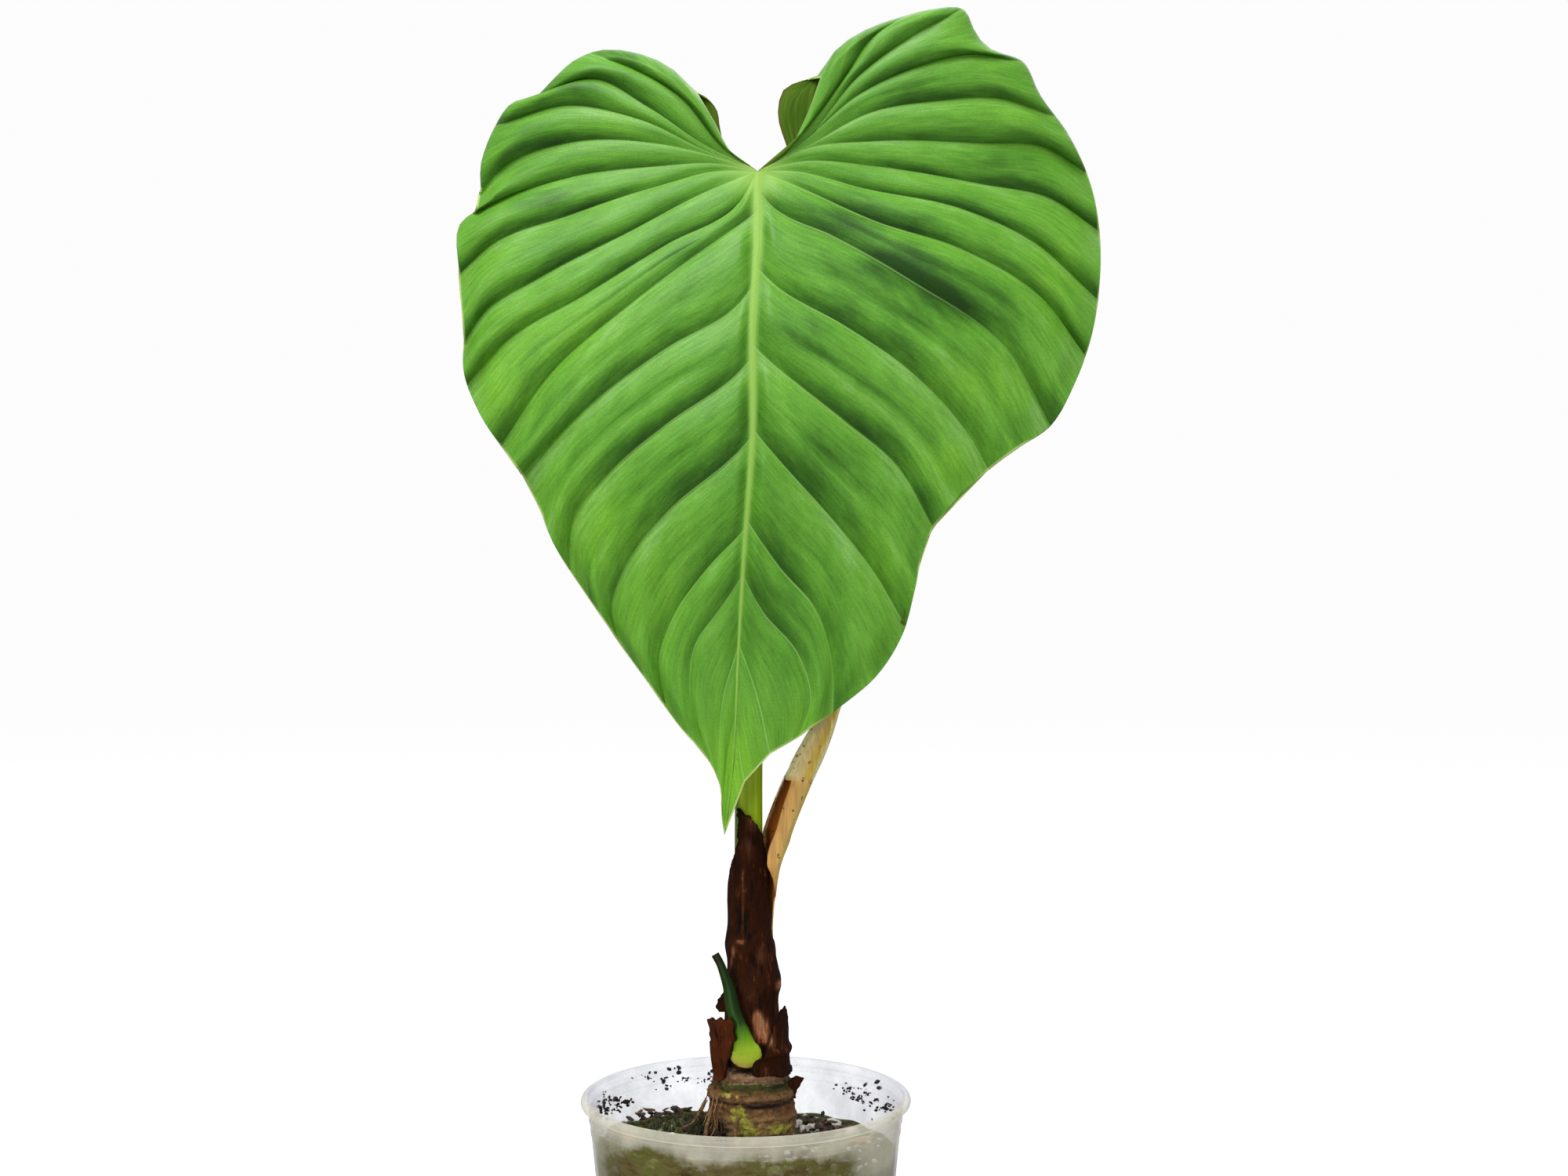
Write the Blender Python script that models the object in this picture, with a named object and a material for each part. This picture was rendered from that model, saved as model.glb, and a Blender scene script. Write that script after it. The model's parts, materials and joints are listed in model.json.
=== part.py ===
"""Potted philodendron: one heart-shaped leaf on an upright petiole, in a clear nursery pot.

Units in the tables are millimetres. The origin is the middle of the pot's underside, +Z is up
and the leaf faces -Y. Neighbouring pieces keep a gap of GAP.
"""

import bmesh
import bpy
import numpy as np
from mathutils import Vector

MM = 0.001
GAP = 0.4

# The leaf is drawn as it looks from this point, on the plane through the pot's axis.
EYE = np.array([15.0, -781.0, 316.5])

# Pot.
POT_HEIGHT = 117.0
LIP_RADIUS = 65.0
BASE_RADIUS = 50.5
WALL = 0.9
WALL_LEAN = 0.1
# The collar starts here and stands out from the wall by COLLAR_STEP.
COLLAR_FOOT = 103.5
COLLAR_STEP = 0.3
OUTER_RAMP = 1.5
INNER_RAMP = 2.5
BEAD_HEIGHTS = (108.0, 111.4)
BEAD_RISE = 0.6
BEAD_HALF_HEIGHT = 1.0
LIP_DEPTH = 3.4
# The lip's section: distance in from LIP_RADIUS and down from POT_HEIGHT.
LIP_SECTION = ((1.2, LIP_DEPTH), (0.0, 2.0), (0.3, 0.6), (1.4, 0.0), (2.6, WALL))
LIP_CLEARANCE = 0.6
FOOT_ROUNDING = 1.5
BASE_CORNER = 2.0
POT_SEGMENTS = 48
DRAIN_HOLES = 8
DRAIN_RADIUS = 4.5
DRAIN_CIRCLE = 40.0
DRAIN_SEGMENTS = 12
DRAIN_CUT_DEPTH = 6.0

# Potting mix.
MIX_FLOOR = 1.4
MIX_LEVEL = 95.0
MOUND_HEIGHT = 11.0
MOUND_AT = (-27.0, -4.0)
MOUND_SPREAD = 18.0
# Low waves in the surface: their height, and how fast and from where they run in x and y.
WAVE_HEIGHT = 0.9
WAVE_RATES = (0.21, 0.24)
WAVE_STARTS = (1.0, -0.6)
MIX_FOOT_INSET = 1.2
MIX_RINGS = (0.98, 0.8, 0.6, 0.4)
MIX_SEGMENTS = 36

# Stem and petiole.
STEM_AXIS = (2.5, 0.0)
STEM_TOP = 131.0
STEM_SEGMENTS = 24
PETIOLE_ROUTE = (
    (1.5, 2, STEM_TOP + GAP),
    (1.0, 2, 180),
    (0.8, 3, 230),
    (2.0, 3, 300),
    (3.5, -1, 380),
    (4.8, -9, 450),
    (4.8, -13, 468),
    (4.6, -18.5, 476.5),
)
PETIOLE_RADII = (6.0, 5.7, 5.4, 5.0, 4.4, 3.8, 3.2, 1.8)
PETIOLE_RINGS = 24
PETIOLE_SIDES = 12

# Leaf, from its junction with the petiole: x to the right, z up.
LEAF_JUNCTION = (4.6, 481.0)
LEAF_THICKNESS = 0.8
LEAF_BOW = 16.0
LEAF_HALF_WIDTH = 115.0
ROLL_RADIUS = 8.0
MARGIN_RUFFLE = 2.5
MIDRIB = ((0, 0), (0, -25), (-2, -56), (-2, -103), (-5, -146), (-8, -195), (-10, -242), (-13, -262))
MIDRIB_DEPTHS = ((0, -22), (-60, -36), (-130, -42), (-200, -38), (-262, -28))
TIP = (-13, -262)

# Each rib runs from the midrib to the leaf's outline. The first is the margin of the sinus.
RIBS_RIGHT = (
    ((0, 0), (11, 7), (19, 21), (25, 37)),
    ((0, 0), (18, 16), (35, 38), (47, 54), (60, 61)),
    ((0, 0), (18, 12), (41, 39), (62, 54), (81, 64)),
    ((0, 0), (18, 12), (41, 31), (66, 42), (84, 46), (105, 43)),
    ((0, 0), (20, 10), (44, 23), (72, 28), (97, 29), (119, 22)),
    ((0, 0), (20, 9), (47, 12), (88, 11), (114, 9), (130, -1)),
    ((0, 0), (19, 4), (47, 2), (88, -5), (116, -11), (135, -24)),
    ((0, 0), (13, 0), (43, -7), (81, -15), (109, -28), (134, -51)),
    ((0, 0), (13, -5), (47, -20), (81, -31), (112, -50), (129, -73)),
    ((0, -8), (7, -15), (30, -26), (60, -43), (97, -69), (115, -100)),
    ((-1, -38), (8, -46), (34, -61), (60, -79), (83, -104), (91, -118)),
    ((-2, -69), (8, -78), (33, -98), (55, -117), (69, -141)),
    ((-2, -102), (10, -116), (32, -141), (47, -161), (52, -181), (47, -198)),
    ((-4, -138), (9, -157), (22, -172), (29, -195), (29, -213)),
    ((-6, -160), (2, -174), (16, -191), (21, -208), (17, -223)),
    ((-7, -187), (0, -208), (5, -230)),
    ((-9, -215), (-7, -230), (-5, -241)),
    (TIP, TIP),
)
RIBS_LEFT = (
    ((0, 0), (-10, 7), (-18, 21), (-24, 31)),
    ((0, 0), (-15, 11), (-31, 30), (-50, 41), (-67, 47)),
    ((0, 0), (-20, 10), (-44, 26), (-66, 37), (-87, 31)),
    ((0, 0), (-18, 7), (-48, 21), (-76, 26), (-104, 18)),
    ((0, 0), (-15, 5), (-40, 11), (-76, 11), (-100, 2), (-110, -8)),
    ((0, 0), (-18, 3), (-40, 2), (-76, -3), (-100, -11), (-112, -17)),
    ((0, 0), (-15, 0), (-40, -6), (-76, -18), (-105, -29), (-118, -41)),
    ((0, 0), (-20, -8), (-51, -24), (-86, -42), (-109, -57), (-116, -68)),
    ((0, 0), (-8, -13), (-36, -29), (-67, -48), (-100, -68), (-114, -84)),
    ((0, -16), (-20, -30), (-51, -53), (-81, -79), (-101, -108)),
    ((-1, -45), (-9, -54), (-36, -70), (-68, -94), (-93, -120)),
    ((-2, -74), (-9, -81), (-36, -100), (-59, -120), (-73, -140), (-74, -157)),
    ((-2, -105), (-11, -114), (-35, -134), (-53, -158), (-58, -174), (-55, -186)),
    ((-5, -141), (-21, -158), (-34, -177), (-39, -193), (-36, -212)),
    ((-6, -160), (-15, -173), (-25, -188), (-27, -205), (-20, -232)),
    ((-7, -187), (-13, -205), (-15, -239)),
    ((-9, -215), (-12, -230), (-14, -250)),
    (TIP, TIP),
)
OUTLINE_RIGHT = (
    (25, 37), (31, 48), (41, 55), (57, 61), (69, 64), (81, 64), (87, 53), (91, 49), (105, 43),
    (111, 31), (123, 14), (132, -7), (135, -24), (135, -44), (132, -64), (125, -84), (115, -101),
    (103, -109), (91, -118), (77, -131), (66, -147), (62, -165), (57, -183), (47, -199),
    (33, -211), (16, -223), (1, -233), (-6, -242), (-10, -251), TIP,
)
OUTLINE_LEFT = (
    (-24, 31), (-36, 42), (-49, 47), (-61, 48), (-72, 44), (-82, 35), (-87, 30), (-97, 27),
    (-104, 17), (-109, 4), (-111, -15), (-117, -20), (-118, -39), (-116, -65), (-116, -79),
    (-110, -95), (-98, -113), (-89, -126), (-81, -146), (-67, -168), (-48, -195), (-30, -220),
    (-19, -233), (-15, -242), (-14, -256), TIP,
)
# Behind the rolled lobes the blade hangs down again along these, from the first rib on.
FLAPS_RIGHT = (
    ((18, 36), (10, 32), (8, 24), (12, 8)),
    ((52, 50), (44, 38), (38, 27), (34, 18)),
    ((74, 55), (66, 45), (60, 36), (56, 30)),
    ((100, 38), (95, 34), (90, 31), (86, 29)),
    ((116, 20), (114, 19), (112, 18), (110, 17)),
)
FLAPS_LEFT = (
    ((-20, 29), (-16, 24), (-15, 18), (-14, 13)),
    ((-58, 38), (-50, 30), (-44, 23), (-38, 17)),
    ((-82, 27), (-76, 23), (-71, 19), (-67, 16)),
    ((-100, 16), (-97, 15), (-94, 14), (-92, 13)),
)
BASAL_RIBS = 8
LEAF_ROWS_PER_RIB = 2
CURVE_SAMPLES = 400
LEAF_COLUMNS = 10
FLAP_COLUMNS = 4

# Sheaths: height, middle x, middle y, radius, and the angles where the strip starts and ends.
LONG_SHEATH = (
    (129.0, 1.8, 2.0, 12.4, 165, 367),
    (140.0, 2.2, 2.0, 11.2, 165, 367),
    (148.0, 2.2, 2.0, 10.7, 165, 367),
    (155.6, 2.3, 2.0, 10.6, 165, 367),
    (159.4, 2.8, 2.0, 11.1, 165, 367),
    (163.0, 2.9, 2.0, 10.3, 165, 367),
    (170.0, 2.2, 2.0, 9.5, 165, 367),
    (176.0, 1.3, 2.0, 9.5, 168, 367),
    (182.0, 1.2, 2.0, 8.6, 168, 367),
    (193.0, 0.9, 2.3, 8.1, 170, 365),
    (204.0, 1.3, 2.6, 7.6, 190, 352),
    (211.0, 1.3, 2.8, 7.4, 216, 338),
    (217.0, 1.3, 2.8, 7.2, 230, 320),
    (223.0, 1.2, 2.9, 7.0, 231, 297),
    (229.5, 1.0, 3.0, 6.8, 232, 246),
)
FADING_SHEATH = (
    (132.5, 2.0, 2.0, 10.4, 16, 112),
    (152.0, 2.0, 2.0, 10.4, 14, 110),
    (165.0, 2.0, 2.0, 10.3, 14, 120),
    (180.0, 1.8, 2.2, 8.8, 14, 130),
    (190.0, 1.7, 2.4, 9.2, 10, 140),
    (196.0, 2.2, 2.6, 9.3, -10, 135),
    (202.0, 4.2, 2.8, 8.2, -38, 130),
    (209.0, 8.2, 3.0, 6.2, -88, 115),
    (215.0, 11.0, 3.4, 5.8, -105, 140),
    (222.0, 13.2, 4.0, 5.9, -99, 165),
    (230.0, 16.3, 5.0, 5.9, -107, 172),
    (237.5, 19.5, 6.0, 5.9, -113, 172),
    (242.5, 21.7, 6.6, 6.0, -156, 160),
    (250.0, 25.2, 7.6, 6.0, -164, 150),
    (256.0, 28.0, 8.2, 5.5, -162, 150),
    (267.0, 33.0, 10.0, 4.0, -150, 140),
    (276.0, 38.0, 11.0, 2.6, -120, 110),
    (285.0, 43.0, 12.0, 1.0, -90, 90),
)
TORN_LEFT = (
    (124.0, 2.5, 0.0, 17.2, 203, 222),
    (127.0, 2.5, 0.0, 16.8, 205, 230),
    (132.0, 2.2, -1.2, 16.7, 204, 233),
    (138.0, 2.0, -1.8, 16.8, 203, 241),
    (143.0, 1.8, -1.8, 17.4, 207, 249),
    (147.0, 1.6, -2.0, 18.2, 204, 251),
    (149.6, 1.4, -2.0, 18.0, 213, 245),
)
TORN_RIGHT = (
    (125.8, 2.2, -0.6, 15.9, -40, 2),
    (127.4, 1.9, -0.9, 15.9, -62, 8),
    (129.8, 0.9, -1.4, 16.2, -84, 12),
    (132.6, 0.7, -1.5, 16.3, -80, 12),
    (135.4, 0.7, -1.5, 17.2, -69, 14),
    (137.2, 0.6, -1.5, 16.3, -65, 10),
    (143.0, 0.5, -1.5, 16.0, -55, 6),
    (148.0, 0.5, -1.5, 15.8, -45, -6),
    (152.0, 0.5, -1.5, 15.8, -33, -20),
)
TORN_BACK = (
    (110.0, 2.5, 0.0, 19.0, 40, 150),
    (122.0, 2.5, 0.0, 18.6, 44, 146),
    (132.0, 2.5, 0.0, 17.6, 60, 134),
    (139.0, 2.5, 0.0, 17.0, 84, 112),
)
SHEATH_THICKNESS = 0.9
# Each sheath: its rows, what it is made of, and the rows and columns of its skin.
SHEATHS = {
    "long_sheath": (LONG_SHEATH, "dry_sheath", 24, 12),
    "fading_sheath": (FADING_SHEATH, "fading_sheath", 30, 12),
    "torn_sheath_left": (TORN_LEFT, "dry_sheath", 8, 5),
    "torn_sheath_right": (TORN_RIGHT, "dry_sheath", 10, 7),
    "torn_sheath_back": (TORN_BACK, "dry_sheath", 6, 7),
}
# Points of a skin that lie this close together are one point.
SHEATH_MERGE = 0.05
LEAF_MERGE = 0.2

# Stem: height and radius, from the foot to the plug inside the long sheath.
STEM_PROFILE = (
    (70, 5.0), (74, 8.5), (82, 11.0), (92, 13.0), (100, 15.6), (104, 17.0), (109, 17.3),
    (113, 16.6), (116, 17.0), (118.6, 17.4), (120.6, 16.2), (122.6, 15.3), (124.4, 14.6), (126.6, 14.2),
    (127.8, 12.8), (128.8, 9.0), (STEM_TOP, 8.0),
)

# Cut petiole stub: middle, then half width and half depth.
STUB_ROUTE = (
    ((0.2, -14.9, 131.3), 2.6, 0.7),
    ((0.3, -15.1, 132.2), 4.6, 1.0),
    ((0.4, -15.3, 133.8), 5.6, 1.3),
    ((0.5, -15.3, 135.8), 6.1, 1.4),
    ((-0.5, -15.2, 138.4), 4.1, 1.8),
    ((-1.5, -15.0, 141.6), 3.1, 2.1),
    ((-2.5, -14.8, 145.2), 2.7, 2.2),
    ((-3.6, -14.4, 149.0), 2.7, 2.2),
    ((-4.7, -13.9, 153.0), 2.7, 2.2),
    ((-5.6, -13.5, 157.2), 2.6, 2.1),
    ((-6.5, -13.1, 161.5), 2.3, 2.0),
    ((-8.1, -12.8, 165.9), 1.8, 1.7),
    ((-9.8, -12.4, 170.4), 1.6, 1.6),
    ((-11.8, -12.1, 174.0), 1.6, 1.5),
)
STUB_RINGS = 18
STUB_SIDES = 10

# Roots: the route and the radius at its two ends.
ROOT_RINGS = 8
ROOT_SIDES = 8
# Room round a root in its channel, and how far the channel runs on, in steps of the route.
CHANNEL_ROOM = 1.0
CHANNEL_RUN_ON = 0.3
SOIL_ROOTS = (
    (((15.5, 7, 84), (25, 12, 74), (34, 10, 52), (42, 2, 26)), 2.2, 1.2),
    (((-9, 9, 84), (-20, 18, 70), (-24, 30, 44), (-12, 40, 20)), 2.0, 1.1),
    (((-8, -6, 84), (-22, -14, 74), (-36, -16, 50), (-40, -10, 24)), 2.2, 1.2),
    (((6, -12, 82), (12, -26, 68), (8, -40, 46), (-6, -42, 18)), 2.0, 1.1),
    (((4, 12, 80), (10, 26, 58), (22, 34, 34), (16, 42, 12)), 1.8, 1.0),
)
SURFACE_ROOTS = (
    (((-16, -8, 116), (-18, -10.5, 112), (-20.5, -13.5, 109), (-24, -16.5, 107.6)), 0.7, 0.4),
    (((-13, -13, 113), (-15, -18, 108), (-15, -24, 105.6), (-12, -31, 104.6)), 0.8, 0.5),
    (((-3, -18.5, 112), (-4, -22, 106), (-2, -27, 102.6), (5, -33, 100.4)), 0.8, 0.5),
)

# Pieces that lie in the mix: middle, half sizes, turn about Z and seed. ROUGHNESS is the
# share of its size by which a piece is uneven.
ROUGHNESS = 0.16
MOSS = {
    "moss_front": ((-34, -22), (15, 11, 3.4), 20, 3),
    "moss_left": ((-46, 4), (9, 13, 3.2), -15, 5),
    "moss_back": ((-24, 30), (13, 9, 2.8), 10, 8),
}
PUMICE = {
    "pumice_1": ((27, 20), (4.6, 3.6, 3.2), 25, 11),
    "pumice_2": ((35, 27), (3.8, 3.4, 2.8), 70, 12),
    "pumice_3": ((42, 19), (3.0, 2.6, 2.4), 10, 13),
    "pumice_4": ((20, 33), (3.4, 2.8, 2.4), 40, 14),
    "pumice_5": ((-40, 26), (3.2, 2.6, 2.2), 80, 15),
    "pumice_6": ((12, -38), (3.6, 3.0, 2.4), 55, 16),
}
BARK = {
    "bark_1": ((29, 33), (6.5, 3.0, 2.0), 15, 21),
    "bark_2": ((22, 9), (5.0, 3.2, 2.2), -35, 22),
    "bark_3": ((38, -12), (6.0, 3.6, 2.2), 60, 23),
    "bark_4": ((-8, 42), (7.0, 3.4, 2.2), -10, 24),
}
DRY_BITS = {
    "dry_flake_orange": ((46, 10), (5.0, 2.6, 0.9), 20, 31),
    "dry_chip_yellow": ((-8, -46), (7.0, 2.6, 1.3), 8, 32),
    "dry_leaf_scrap": ((-44, -12), (5.0, 3.2, 0.9), 50, 33),
}

# An edge sharper than this is shaded as an edge, in degrees.
SHARP_EDGE = 40

# Linear colour and opacity, then roughness.
COLOURS = {
    "pot": ((0.72, 0.74, 0.72, 0.45), 0.35),
    "mix": ((0.055, 0.05, 0.03, 1), 0.95),
    "moss": ((0.10, 0.14, 0.03, 1), 0.9),
    "pumice": ((0.75, 0.73, 0.68, 1), 0.9),
    "bark": ((0.08, 0.05, 0.03, 1), 0.8),
    "dry_bit": ((0.42, 0.24, 0.10, 1), 0.7),
    "root": ((0.20, 0.13, 0.07, 1), 0.8),
    "stem": ((0.16, 0.15, 0.07, 1), 0.6),
    "petiole": ((0.30, 0.38, 0.16, 1), 0.5),
    "blade": ((0.09, 0.20, 0.05, 1), 0.45),
    "dry_sheath": ((0.09, 0.035, 0.018, 1), 0.45),
    "fading_sheath": ((0.52, 0.36, 0.19, 1), 0.5),
}


def material(name):
    """The named Principled material, made on first use."""
    found = bpy.data.materials.get(name)
    if found:
        return found
    made = bpy.data.materials.new(name)
    made.use_nodes = True
    shader = made.node_tree.nodes["Principled BSDF"]
    colour, roughness = COLOURS[name]
    made.diffuse_color = colour
    shader.inputs["Base Color"].default_value = colour
    shader.inputs["Alpha"].default_value = colour[3]
    shader.inputs["Roughness"].default_value = roughness
    shader.inputs["Metallic"].default_value = 0.0
    return made


def add_object(name, bm, finish):
    """Turns bm, in millimetres, into an object in metres with one material."""
    bmesh.ops.scale(bm, vec=(MM, MM, MM), verts=bm.verts)
    bmesh.ops.recalc_face_normals(bm, faces=bm.faces)
    mesh = bpy.data.meshes.new(name)
    bm.to_mesh(mesh)
    bm.free()
    mesh.materials.append(material(finish))
    mesh.shade_smooth()
    mesh.set_sharp_from_angle(angle=np.radians(SHARP_EDGE))
    made = bpy.data.objects.new(name, mesh)
    bpy.context.scene.collection.objects.link(made)
    return made


def cut(target, cutter):
    """Takes cutter, a hidden helper, out of target."""
    cutter.hide_render = True
    cutter.display_type = "WIRE"
    boolean = target.modifiers.new(cutter.name, "BOOLEAN")
    boolean.operation = "DIFFERENCE"
    boolean.solver = "EXACT"
    boolean.object = cutter


def turned(profile, segments, axis=(0.0, 0.0)):
    """A bmesh turned about a vertical axis from (radius, height) points that start and end on it."""
    bm = bmesh.new()
    verts = [bm.verts.new((axis[0] + r, axis[1], z)) for r, z in profile]
    edges = [bm.edges.new(pair) for pair in zip(verts, verts[1:])]
    bmesh.ops.spin(
        bm,
        geom=verts + edges,
        axis=(0, 0, 1),
        cent=(axis[0], axis[1], 0),
        steps=segments,
        angle=2 * np.pi,
        use_merge=True,
    )
    bmesh.ops.remove_doubles(bm, verts=bm.verts, dist=1e-4)
    return bm


def smooth_curve(points, count):
    """count points evenly along a Catmull-Rom curve through points, of any dimension."""
    points = np.asarray(points, float)
    lengths = np.linalg.norm(np.diff(points, axis=0), axis=1)
    if lengths.sum() < 1e-6:
        return np.repeat(points[:1], count, axis=0)
    knots = np.concatenate([[0], np.cumsum(lengths)])
    slopes = np.gradient(points, knots, axis=0)
    at = np.linspace(0, knots[-1], count)
    span = np.clip(np.searchsorted(knots, at, side="right") - 1, 0, len(lengths) - 1)
    width = lengths[span][:, None]
    t = (at - knots[span])[:, None] / width
    rise = points[span] * (2 * t**3 - 3 * t**2 + 1) + points[span + 1] * (3 * t**2 - 2 * t**3)
    lean = slopes[span] * (t**3 - 2 * t**2 + t) + slopes[span + 1] * (t**3 - t**2)
    return rise + lean * width


def ring_frame(direction):
    """Two unit vectors across a direction, the first as level as it can be."""
    across = Vector(direction).normalized().cross(Vector((0, 1, 0)))
    if across.length < 0.1:
        across = Vector((1, 0, 0))
    across.normalize()
    return across, Vector(direction).normalized().cross(across).normalized()


def swept(route, half_widths, half_depths, sides):
    """A closed bmesh with an elliptical section along route."""
    route = np.asarray(route, float)
    bm = bmesh.new()
    rings = []
    for i, middle in enumerate(route):
        along = route[min(i + 1, len(route) - 1)] - route[max(i - 1, 0)]
        across, deep = ring_frame(along)
        ring = []
        for k in range(sides):
            angle = 2 * np.pi * k / sides
            offset = across * (half_widths[i] * np.cos(angle)) + deep * (half_depths[i] * np.sin(angle))
            ring.append(bm.verts.new(Vector(middle) + offset))
        rings.append(ring)
    for low, high in zip(rings, rings[1:]):
        for k in range(sides):
            bm.faces.new((low[k], low[(k + 1) % sides], high[(k + 1) % sides], high[k]))
    bm.faces.new(rings[0])
    bm.faces.new(rings[-1])
    return bm


def tube(name, path, radii, finish, sides):
    """A tapered tube along path, its radius read from radii along it."""
    along = np.interp(np.linspace(0, 1, len(path)), np.linspace(0, 1, len(radii)), radii)
    return add_object(name, swept(path, along, along, sides), finish)


def sheet(name, grids, thickness, merge, finish):
    """A closed skin of the given thickness round one or more grids of points."""
    bm = bmesh.new()
    for grid in grids:
        verts = [[bm.verts.new(point) for point in row] for row in grid]
        for low, high in zip(verts, verts[1:]):
            for k in range(len(low) - 1):
                bm.faces.new((low[k], low[k + 1], high[k + 1], high[k]))
    bmesh.ops.remove_doubles(bm, verts=bm.verts, dist=merge)
    made = add_object(name, bm, finish)
    skin = made.modifiers.new("thickness", "SOLIDIFY")
    skin.thickness = thickness * MM
    skin.offset = 0.0


def wrapped_strip(name, rows, finish, count, columns):
    """A sheath: an arc at each height that swings, opens and shrinks from row to row."""
    grid = []
    for z, x, y, radius, start, end in smooth_curve(rows, count):
        angles = np.radians(np.linspace(start, end, columns))
        arc = zip(x + radius * np.cos(angles), y + radius * np.sin(angles))
        grid.append([(px, py, z) for px, py in arc])
    sheet(name, [grid], SHEATH_THICKNESS, SHEATH_MERGE, finish)


def mix_height(x, y):
    """The mix's surface: nearly level, with a mossy mound at the front left."""
    mound = ((x - MOUND_AT[0]) ** 2 + (y - MOUND_AT[1]) ** 2) / (2 * MOUND_SPREAD**2)
    wave_x = np.sin(WAVE_RATES[0] * x + WAVE_STARTS[0])
    wave_y = np.cos(WAVE_RATES[1] * y + WAVE_STARTS[1])
    return MIX_LEVEL + MOUND_HEIGHT * np.exp(-mound) + WAVE_HEIGHT * wave_x * wave_y


def wall_radius(z):
    """The pot's outer radius at a height below the collar."""
    return BASE_RADIUS + WALL_LEAN * z


def add_pot():
    """The thin pot: leaning wall, collar with two beads, rolled lip, and a drained base."""
    collar = wall_radius(COLLAR_FOOT) + COLLAR_STEP
    outside = [
        (0, 0),
        (BASE_RADIUS - FOOT_ROUNDING, 0),
        (BASE_RADIUS, FOOT_ROUNDING),
        (wall_radius(COLLAR_FOOT - OUTER_RAMP), COLLAR_FOOT - OUTER_RAMP),
    ]
    for bead in BEAD_HEIGHTS:
        outside.append((collar, bead - BEAD_HALF_HEIGHT))
        outside.append((collar + BEAD_RISE, bead))
        outside.append((collar, bead + BEAD_HALF_HEIGHT))
    lip = [(LIP_RADIUS - inset, POT_HEIGHT - drop) for inset, drop in LIP_SECTION]
    inside = [
        (collar - WALL, POT_HEIGHT - LIP_DEPTH - LIP_CLEARANCE),
        (collar - WALL, COLLAR_FOOT),
        (wall_radius(COLLAR_FOOT) - WALL, COLLAR_FOOT - INNER_RAMP),
        (BASE_RADIUS - WALL, BASE_CORNER),
        (BASE_RADIUS - FOOT_ROUNDING - WALL, WALL),
        (0, WALL),
    ]
    pot = add_object("nursery_pot", turned(outside + lip + inside, POT_SEGMENTS), "pot")
    for k in range(DRAIN_HOLES):
        angle = 2 * np.pi * (k + 0.5) / DRAIN_HOLES
        bm = bmesh.new()
        bmesh.ops.create_cone(
            bm,
            cap_ends=True,
            segments=DRAIN_SEGMENTS,
            radius1=DRAIN_RADIUS,
            radius2=DRAIN_RADIUS,
            depth=DRAIN_CUT_DEPTH,
        )
        bmesh.ops.translate(
            bm, vec=(DRAIN_CIRCLE * np.cos(angle), DRAIN_CIRCLE * np.sin(angle), 0), verts=bm.verts
        )
        cut(pot, add_object(f"drain_cutter_{k + 1}", bm, "pot"))


def add_mix():
    """The block of mix: an uneven top over a plain cone that fits the pot."""
    bm = bmesh.new()
    segments = MIX_SEGMENTS
    clearance = WALL + GAP
    rings = []
    for share in MIX_RINGS:
        ring = []
        for k in range(segments):
            angle = 2 * np.pi * k / segments
            radius = share * (wall_radius(MIX_LEVEL) - clearance)
            x, y = radius * np.cos(angle), radius * np.sin(angle)
            ring.append(bm.verts.new((x, y, mix_height(x, y))))
        rings.append(ring)
    foot = []
    for k in range(segments):
        angle = 2 * np.pi * k / segments
        radius = BASE_RADIUS - clearance - MIX_FOOT_INSET
        foot.append(bm.verts.new((radius * np.cos(angle), radius * np.sin(angle), MIX_FLOOR)))
    for outer, inner in zip([foot] + rings, rings):
        for k in range(segments):
            bm.faces.new((outer[k], outer[(k + 1) % segments], inner[(k + 1) % segments], inner[k]))
    top = bm.verts.new((0, 0, mix_height(0, 0)))
    for k in range(segments):
        bm.faces.new((rings[-1][k], rings[-1][(k + 1) % segments], top))
    bm.faces.new(foot[::-1])
    return add_object("potting_mix", bm, "mix")


def stem_solid(name, extra=0.0):
    """The ringed stem, or a fatter one that makes room for it."""
    profile = [(0, STEM_PROFILE[0][0] - extra)]
    profile += [(radius + extra, z) for z, radius in STEM_PROFILE]
    profile += [(0, STEM_TOP)]
    return add_object(name, turned(profile, STEM_SEGMENTS, STEM_AXIS), "stem")


def add_roots(mix):
    """Roots in the mix, each in a channel that opens into the stem's own hole."""
    cut(mix, stem_solid("stem_cutter", GAP))
    for k, (route, near, far) in enumerate(SOIL_ROOTS):
        path = smooth_curve(route, ROOT_RINGS)
        tube(f"soil_root_{k + 1}", path, (near, far), "root", ROOT_SIDES)
        inward = (path[0] + np.array([*STEM_AXIS, path[0][2]])) / 2
        beyond = path[-1] + CHANNEL_RUN_ON * (path[-1] - path[-2])
        channel = np.vstack([inward, path, beyond])
        room = (near + CHANNEL_ROOM, far + CHANNEL_ROOM)
        cut(mix, tube(f"root_cutter_{k + 1}", channel, room, "root", ROOT_SIDES))
    for k, (route, near, far) in enumerate(SURFACE_ROOTS):
        tube(f"surface_root_{k + 1}", smooth_curve(route, ROOT_RINGS), (near, far), "root", ROOT_SIDES)


def lump(place, half_sizes, turn, seed, lift, extra=0.0):
    """A rough rounded piece that sits partly in the mix."""
    random = np.random.default_rng(seed)
    bm = bmesh.new()
    bmesh.ops.create_icosphere(bm, subdivisions=2, radius=1.0)
    cosine, sine = np.cos(np.radians(turn)), np.sin(np.radians(turn))
    middle = mix_height(*place) + lift * half_sizes[2]
    for vert in bm.verts:
        rough = 1 + ROUGHNESS * (random.random() - 0.5)
        x, y, z = (c * (rough * half + extra) for c, half in zip(vert.co, half_sizes))
        vert.co = (place[0] + cosine * x - sine * y, place[1] + sine * x + cosine * y, middle + z)
    return bm


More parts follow.
